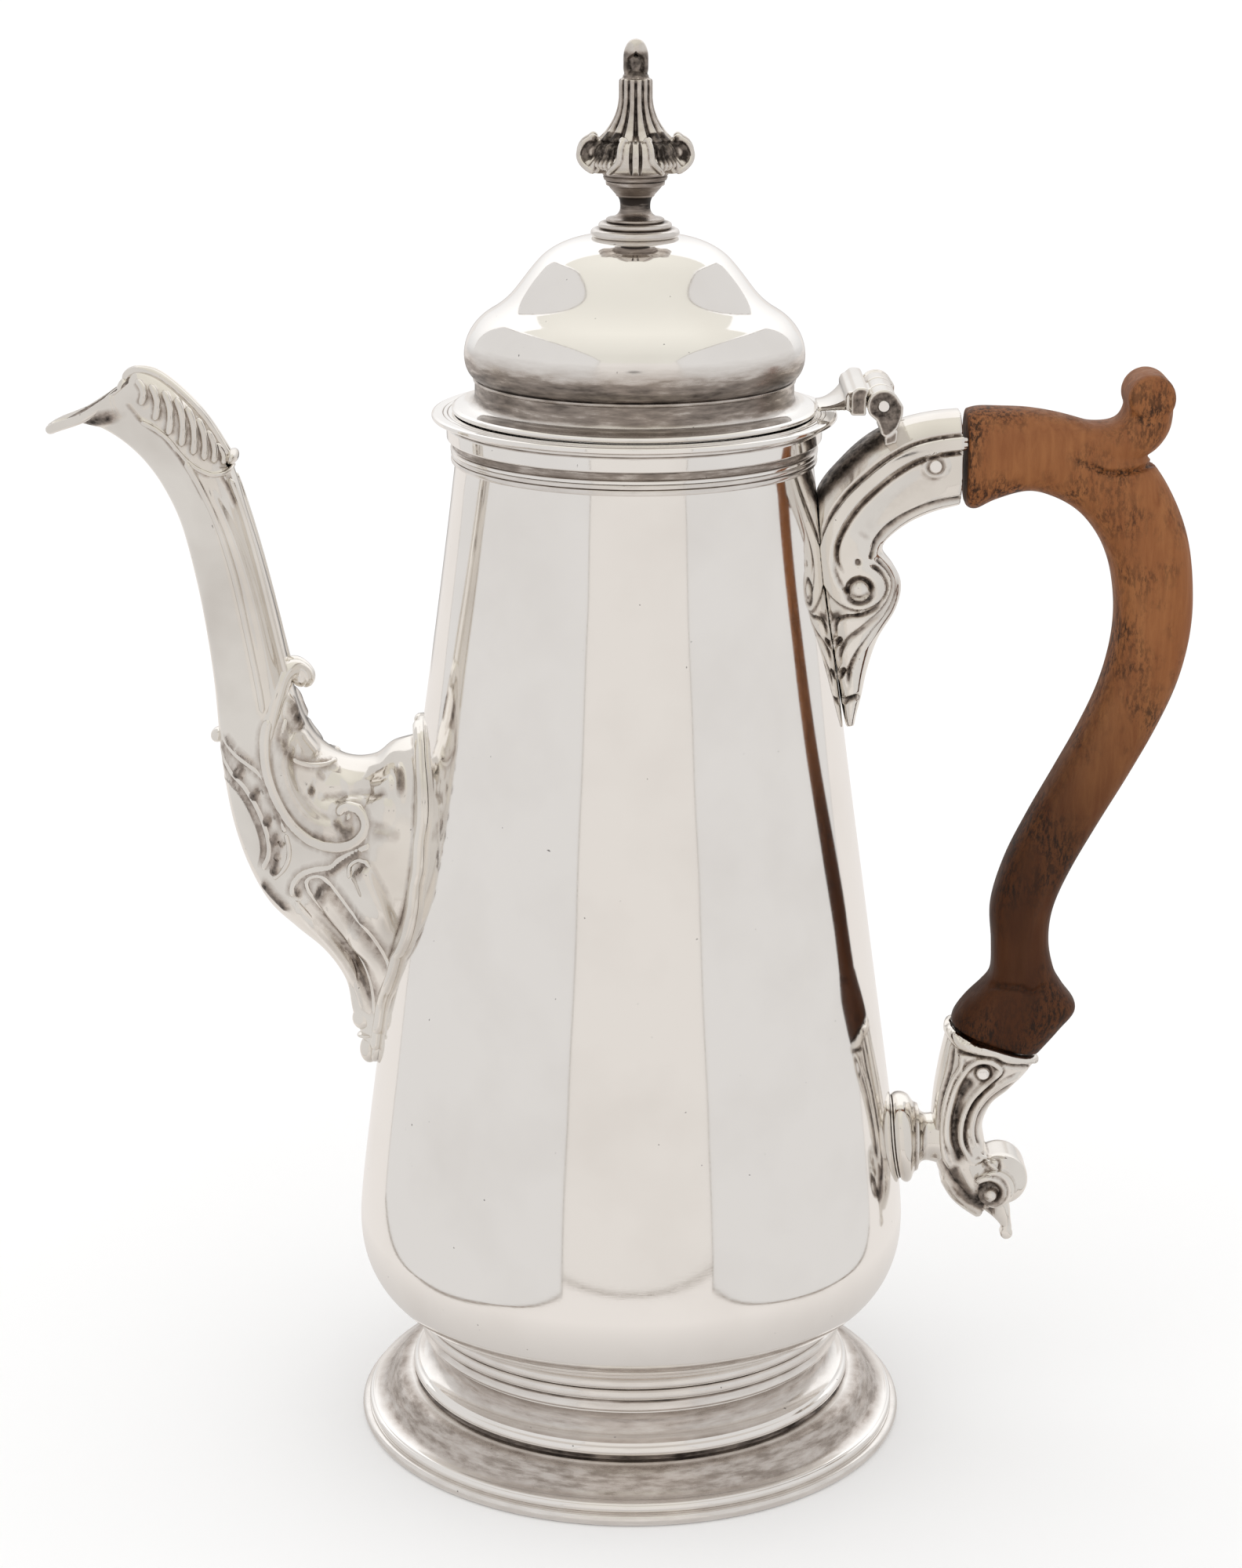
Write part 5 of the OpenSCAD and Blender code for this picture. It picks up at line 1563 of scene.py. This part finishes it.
def make_crown():
    """Bell with a brim of four curled lobes, flutes all round and a curled bud on top."""
    around = 480
    a = 2 * np.pi * np.arange(around) / around
    # How far each direction is from the middle of its lobe: four lobes, on the axes
    off = np.abs((a + np.pi / 4) % (np.pi / 2) - np.pi / 4)
    brim_z = brim_low + 3.1
    curl = arc((0, 0), 1, -90, 175, 46)
    rows = []
    bell_r, bell_top = 2.85, brim_low + 15.8
    bell = bezier((6.4, brim_z + 2.5), (4.3, brim_z + 4.4), (3.0, brim_z + 6.6), (bell_r, brim_z + 9.6), 46)
    bell = np.vstack((bell, [(bell_r, z) for z in np.linspace(brim_z + 9.9, bell_top - 0.35, 10)],
                      [(bell_r - 0.12, bell_top - 0.1), (bell_r - 0.4, bell_top)]))
    for r, z in ((0.0, brim_low), (3, brim_low), (5.4, brim_low)):
        rows.append((np.full(around, r), np.full(around, z)))
    for k, (cx, cz) in enumerate(curl):
        t = k / (len(curl) - 1)
        half = lobe_half(t)
        lobe = smoothstep(half + math.radians(7), half, off)
        low_share = smoothstep(0.2, -0.8, cz)
        big_r = 7.35 + cx * 2.75
        small_r = (6.0 + cx * 1.7) * (1 - low_share) + (7.2 + cx * 2.2) * low_share
        ribs = -0.6 * smoothstep(0.35, 0.9, np.cos(off * 360 / 9.5 + math.pi)) * (off < math.radians(8.5))
        shell = -0.5 * smoothstep(0.2, 0.9, np.cos((off - math.pi / 4) * 360 / 6.6 + math.pi)) * (1 - lobe)
        shaped = math.sin(math.pi * min(0.05 + 0.95 * t, 1)) ** 0.5
        r = small_r + (big_r - small_r) * lobe + (ribs * lobe + shell) * shaped
        z = brim_z + (cz * (2.2 + 0.7 * lobe)) - 0.15
        rows.append((r, z))
    grid_r = np.array([row[0] for row in rows])
    grid_z = np.array([row[1] for row in rows])
    # The fluted bell
    folds = 14
    wave = np.cos(folds * a)
    cut = -smoothstep(0.2, 1, -wave) * 0.8
    bell_rows_r, bell_rows_z = [], []
    for i, (r, z) in enumerate(bell):
        t = i / (len(bell) - 1)
        depth = (0.35 + 0.65 * (1 - t)) * (1 - 0.75 * smoothstep(0.93, 1, t))
        bell_rows_r.append(r + depth * (cut + 0.12 * wave))
        bell_rows_z.append(np.full(around, z))
    r_all = np.vstack((grid_r, bell_rows_r, np.zeros((1, around))))
    z_all = np.vstack((grid_z, bell_rows_z, np.full((1, around), bell_top)))
    grid = np.stack((np.maximum(r_all, 0) * np.cos(a), np.maximum(r_all, 0) * np.sin(a), z_all), axis=-1)
    shell_piece = make("crown_shell", grid, grid_faces(len(grid), around, False, True))
    parts = [shell_piece] + make_bud(bell_top)
    for k in range(4):
        for side in (-1, 1):
            parts.append(lobe_scroll(k * math.pi / 2, side, brim_z))
    piece = merge("finial_crown_casting", parts, 0.14, 1)
    v = mesh_points(piece)
    z, turn, r = v[:, 2], np.arctan2(v[:, 1], v[:, 0]), np.hypot(v[:, 0], v[:, 1])
    off = np.abs((turn + np.pi / 4) % (np.pi / 2) - np.pi / 4)
    risen = smoothstep(brim_z - 1.8, brim_z + 0.6, z)
    half = math.radians(35) - math.radians(17) * risen
    between = smoothstep(half, half + math.radians(5), off) * smoothstep(9.4, 7.8, r) * (z < brim_low + 7)
    between *= smoothstep(brim_z - 2.6, brim_z - 1.2, z)
    shaft = smoothstep(brim_low + 5.5, brim_low + 8, z) * smoothstep(bell_top + 0.3, bell_top - 0.3, z)
    folds_dirt = shaft * (0.42 + 0.58 * smoothstep(-0.1, 0.8, -np.cos(folds * turn)))
    grooves = smoothstep(0.2, 0.85, np.cos(off * 360 / 9.5 + math.pi)) * (off < math.radians(8.5))
    grooves *= z < brim_low + 6.5
    top_dirt = 0.85 * smoothstep(bell_top - 0.4, bell_top + 0.5, z) * smoothstep(tip_z - 1.2, tip_z - 3, z)
    away = np.hypot(r * np.cos(off) - 7.2, z - brim_z - 0.5)
    side_face = smoothstep(math.radians(10), math.radians(14), off)
    side_face *= smoothstep(math.radians(27), math.radians(20), off)
    spiral = side_face * smoothstep(0.5, 0.9, away) * smoothstep(2.3, 1.9, away)
    # Tarnish and painted dark reflection over the crown: its folds, grooves, the hollows between lobes and under
    # the bud, over a general darkening
    worn = np.max((spiral, top_dirt, folds_dirt, between, 0.85 * grooves, 0.3 + 0 * z), axis=0)
    mark_hollows(piece, 10, 0.07, worn)
    finish_piece(piece, "finial_crown", sharp=60)


def lobe_half(t):
    """Half angle of a lobe from its underside, t = 0, up over its brim, t = 1: it narrows as it rises."""
    return math.radians(34) - math.radians(18) * smoothstep(0.04, 0.36, t)


def lobe_scroll(axis, side, brim_z):
    """Scrolled edge of a lobe: it follows the lobe's side up over the brim and ends in a bead."""
    t = np.linspace(0.08, 0.72, 40)
    up = np.radians(-90 + 265 * t)
    turn = axis + side * np.array([lobe_half(k) for k in t])
    r, z = 7.3 + 2.8 * np.cos(up), brim_z - 0.15 + 2.85 * np.sin(up)
    line = np.column_stack((r * np.cos(turn), r * np.sin(turn), z))
    out = np.column_stack((np.cos(up) * np.cos(turn), np.cos(up) * np.sin(turn), np.sin(up)))
    radius = 0.5 + 0.6 * smoothstep(0.8, 0.95, np.linspace(0, 1, 40))
    points, faces = rod_grid(line, out, radius, 12)
    return make("scroll", points, faces)


def make_bud(base):
    """The hooded bud: a hollow leaf that curls over a small berry, open towards -Y."""
    top = tip_z - 0.05
    height = top - base
    rings_out, rings_in = [], []
    for u in np.linspace(0, 1, 30):
        opening = math.radians(50) * (1 - smoothstep(0.5, 0.74, u)) * smoothstep(0.0, 0.2, u)
        bend = 0.55 * math.sin(math.pi * u) - 0.5 * u
        r = 2.15 * math.sqrt(max(1 - max(0, (u - 0.5) / 0.5) ** 2.3, 0.0004))
        r *= 0.82 + 0.18 * smoothstep(0, 0.3, u)
        a = np.linspace(-math.pi / 2 + opening + 0.02, 1.5 * math.pi - opening - 0.02, 44)
        z = base - 0.4 + (height + 0.4) * u
        for rings, radius, drop in ((rings_out, r, 0), (rings_in, max(r - 0.75, 0.02), 0.75 * u)):
            rings.append(np.column_stack((radius * np.cos(a), bend + radius * np.sin(a),
                                          np.full(len(a), z - drop))))
    grid = np.concatenate((np.array(rings_out), np.array(rings_in)[:, ::-1]), axis=1)
    n = grid.shape[1]
    faces = grid_faces(len(grid), n, False, True)
    half = n // 2
    for row in (0, len(grid) - 1):
        faces += [[row * n + k, row * n + k + 1, row * n + n - 2 - k, row * n + n - 1 - k]
                  for k in range(half - 1)]
    hood = make("hood", grid, faces)
    berry = lathe_raw("berry", [(0, base - 0.5), (1.6, base - 0.3), (2.25, base + 0.35),
                                (1.7, base + 0.9), (1.1, base + 1.5), (1.3, base + 2.4),
                                (1.15, base + 3.4), (0.6, base + 4.1), (0, base + 4.3)])
    return [hood, berry]


def lathe_raw(name, points, segments=64):
    """Solid turned about Z from an outline that starts and ends on the axis."""
    p = spline(points, 4)
    p[:, 0] = np.maximum(p[:, 0], 0)
    p[0, 0] = p[-1, 0] = 0
    a = 2 * np.pi * np.arange(segments) / segments
    grid = np.stack((p[:, 0][:, None] * np.cos(a), p[:, 0][:, None] * np.sin(a),
                     p[:, 1][:, None] + 0 * a), axis=-1)
    return make(name, grid, grid_faces(len(p), segments, False, True))


make_finial()

# The disc let into the underside is shown as the CAD made it
bottom_disc = frame["nodes"]["body_bottom"]
bottom_disc.data.materials.clear()
bottom_disc.data.materials.append(sheet_silver)


# ---- stage: floor, light and camera ----

def light_material(name, colour, strength):
    """Material that only gives light."""
    m = bpy.data.materials.new(name)
    m.use_nodes = True
    tree = m.node_tree
    tree.nodes.clear()
    out = tree.nodes.new("ShaderNodeOutputMaterial")
    light = tree.nodes.new("ShaderNodeEmission")
    light.name = "light"
    light.inputs["Color"].default_value = (*colour, 1)
    light.inputs["Strength"].default_value = strength
    tree.links.new(light.outputs[0], out.inputs["Surface"])
    return m


def glow_material(name, colour, far, near, scale, gradient="SPHERICAL", location=(0, 0, 0)):
    """Light whose strength runs from far to near: with height, or towards the middle of a round gradient."""
    m = light_material(name, colour, near)
    tree = m.node_tree
    place = tree.nodes.new("ShaderNodeTexCoord")
    mapped = tree.nodes.new("ShaderNodeMapping")
    mapped.inputs["Location"].default_value = location
    mapped.inputs["Scale"].default_value = scale
    if gradient == "LINEAR":
        mapped.inputs["Rotation"].default_value = (0, math.pi / 2, 0)
    shade = tree.nodes.new("ShaderNodeTexGradient")
    shade.gradient_type = gradient
    spread = tree.nodes.new("ShaderNodeMapRange")
    spread.inputs["To Min"].default_value = far
    spread.inputs["To Max"].default_value = near
    for source, target in ((place.outputs["Object"], mapped.inputs["Vector"]),
                           (mapped.outputs["Vector"], shade.inputs["Vector"]),
                           (shade.outputs["Fac"], spread.inputs["Value"]),
                           (spread.outputs["Result"], tree.nodes["light"].inputs["Strength"])):
        tree.links.new(source, target)
    return m


def staged(name, points, faces, material, seen_by_camera=False):
    """Piece of the studio. Unless the camera sees it, only reflections do."""
    mesh = bpy.data.meshes.new(name)
    mesh.from_pydata([tuple(np.array(p) * MM) for p in points], [], faces)
    o = bpy.data.objects.new(name, mesh)
    bpy.context.scene.collection.objects.link(o)
    mesh.materials.append(material)
    if not seen_by_camera:
        o.visible_camera = o.visible_shadow = o.visible_diffuse = False


def make_floor():
    """Wide pale floor."""
    m = Nodes("pale_paper")
    tone = m.noise(m.position(), 3, 2)
    m.set("Base Color", m.mix(tone, (0.93, 0.93, 0.93, 1), (0.95, 0.95, 0.95, 1)))
    m.set("Roughness", 0.9)
    m.set("Specular IOR Level", 0.1)
    size = 9000
    staged("floor", [(-size, -size, 0), (size, -size, 0), (size, size, 0), (-size, size, 0)], [[0, 1, 2, 3]],
           m.material, True)


def card(name, foot_line, top_line, bottom, top, face, trim):
    """Upright card from a line on the floor to a line above it, with a thin darker edge all round."""
    edge = 2.4

    def stretched(path):
        """The path in even steps, with a step of edge added at each end."""
        p = even(spline(path, 8), 24)
        first, last = p[0] - p[1], p[-1] - p[-2]
        return np.vstack((p[0] + first / np.linalg.norm(first) * edge, p,
                          p[-1] + last / np.linalg.norm(last) * edge))

    foot_edge, top_edge = stretched(foot_line), stretched(top_line)
    points = []
    for z in (bottom - edge, bottom, top, top + edge):
        up = (z - bottom) / (top - bottom)
        points += [(*(f * (1 - up) + t * up), z) for f, t in zip(foot_edge, top_edge)]
    n = len(foot_edge)
    inner, outer = [], []
    for row in range(3):
        for k in range(n - 1):
            quad = [row * n + k, row * n + k + 1, (row + 1) * n + k + 1, (row + 1) * n + k]
            (inner if row == 1 and 0 < k < n - 2 else outer).append(quad)
    staged(name, points, inner, face)
    staged(name + "_edge", points, outer, trim)


def make_surround():
    """What the silver sees beyond the cards: a pale room, and the floor as it lies in the pot's own shade."""
    around, reach = 48, 2500
    turn = np.linspace(0, 2 * math.pi, around, endpoint=False)
    rings = [(reach * math.cos(e), reach * math.sin(e)) for e in np.radians(np.linspace(-4, 88, 14))]
    points = [(r * math.cos(a), r * math.sin(a), z) for r, z in rings for a in turn]
    faces = grid_faces(len(rings), around, False, True)
    faces.append([(len(rings) - 1) * around + k for k in range(around)])
    staged("room", points, faces,
           glow_material("room_grey", (1, 0.99, 0.985), 0.74, 1.22, (-0.8, 0.8, 0.8), "LINEAR"))
    disc = [(reach * math.cos(a), reach * math.sin(a), 0.1) for a in turn]
    staged("floor_glow", disc, [list(range(around))],
           glow_material("floor_grey", (1, 0.955, 0.92), 0.87, 0.5, (8, 8, 8)))


def make_light():
    """White surroundings, and the cards, canopy, flag and lens that the silver reflects."""
    world = bpy.data.worlds.new("tent")
    bpy.context.scene.world = world
    world.use_nodes = True
    back = world.node_tree.nodes["Background"]
    back.inputs["Color"].default_value = (1, 0.998, 0.995, 1)
    back.inputs["Strength"].default_value = 1.1
    cool = light_material("card_white", (1, 0.98, 0.965), 0.78)
    warm = light_material("card_warm", (1, 0.958, 0.918), 0.82)
    trim = light_material("card_trim", (1, 0.84, 0.7), 0.3)
    black = light_material("lens_black", (1, 0.8, 0.7), 0.02)
    top = 350
    left_foot = [(-86, -186), (-90, -110), (-108, -40), (-140, 20), (-165, 70)]
    left_top = [(-86, -186), (-90, -110), (-104, -30), (-130, 80), (-150, 180)]
    right_foot = [(106, -186), (100, -110), (112, -50), (140, 10), (165, 40)]
    right_top = [(106, -186), (100, -110), (112, -30), (135, 80), (155, 180)]
    card("left_card", left_foot, left_top, 4, top, cool, trim)
    card("right_card", right_foot, right_top, 4, top, cool, trim)
    front = [(-140, -232), (0, -228), (140, -232)]
    card("front_card", front, front, 3, top + 60, warm, trim)
    canopy_left = [(-88, -230), (-88, -186), (-92, -110), (-106, -30), (-118, 40), (-126, 90)]
    canopy_right = [(108, -230), (108, -186), (102, -110), (114, -30), (124, 40), (130, 90)]
    rows = [(*a, top + 4) for a in canopy_left] + [(*a, top + 4) for a in canopy_right]
    quads = [[k, k + 1, 7 + k, 6 + k] for k in range(5)]
    staged("canopy", rows, quads,
           glow_material("canopy_cream", (1, 0.975, 0.9), 0.8, 0.99, (4.2, 5.2, 0), location=(0, -0.26, 0)))
    flag = [(-270, 600, 1), (270, 600, 1), (270, 600, 270), (-270, 600, 270)]
    staged("back_flag", flag, [[0, 1, 2, 3]],
           glow_material("flag_grey", (1, 0.96, 0.93), 0.86, 0.06, (3.9, 0, 3.9)))
    lens_steps = 24
    turn = [2 * math.pi * k / lens_steps for k in range(lens_steps)]
    lens = [(16 * math.cos(a), -227, 257 + 9 * math.sin(a)) for a in turn]
    staged("camera_lens", lens, [list(range(lens_steps))], black)


def make_camera():
    """Camera in front of the pot, looking slightly down."""
    data = bpy.data.cameras.new("camera")
    data.lens = 79.2
    data.sensor_width = 36
    data.sensor_fit = "AUTO"
    data.clip_start, data.clip_end = 0.01, 30
    cam = bpy.data.objects.new("camera", data)
    bpy.context.scene.collection.objects.link(cam)
    cam.location = (-0.00213, -0.6, 0.3)
    cam.rotation_mode = "XYZ"
    pitch, roll = math.radians(16.48), math.radians(0.19)
    cam.rotation_euler = (math.pi / 2 - pitch, 0, 0)
    cam.rotation_euler.rotate_axis("Z", roll)
    bpy.context.scene.camera = cam


make_floor()
make_surround()
make_light()
make_camera()
bpy.context.scene.view_settings.view_transform = "Standard"
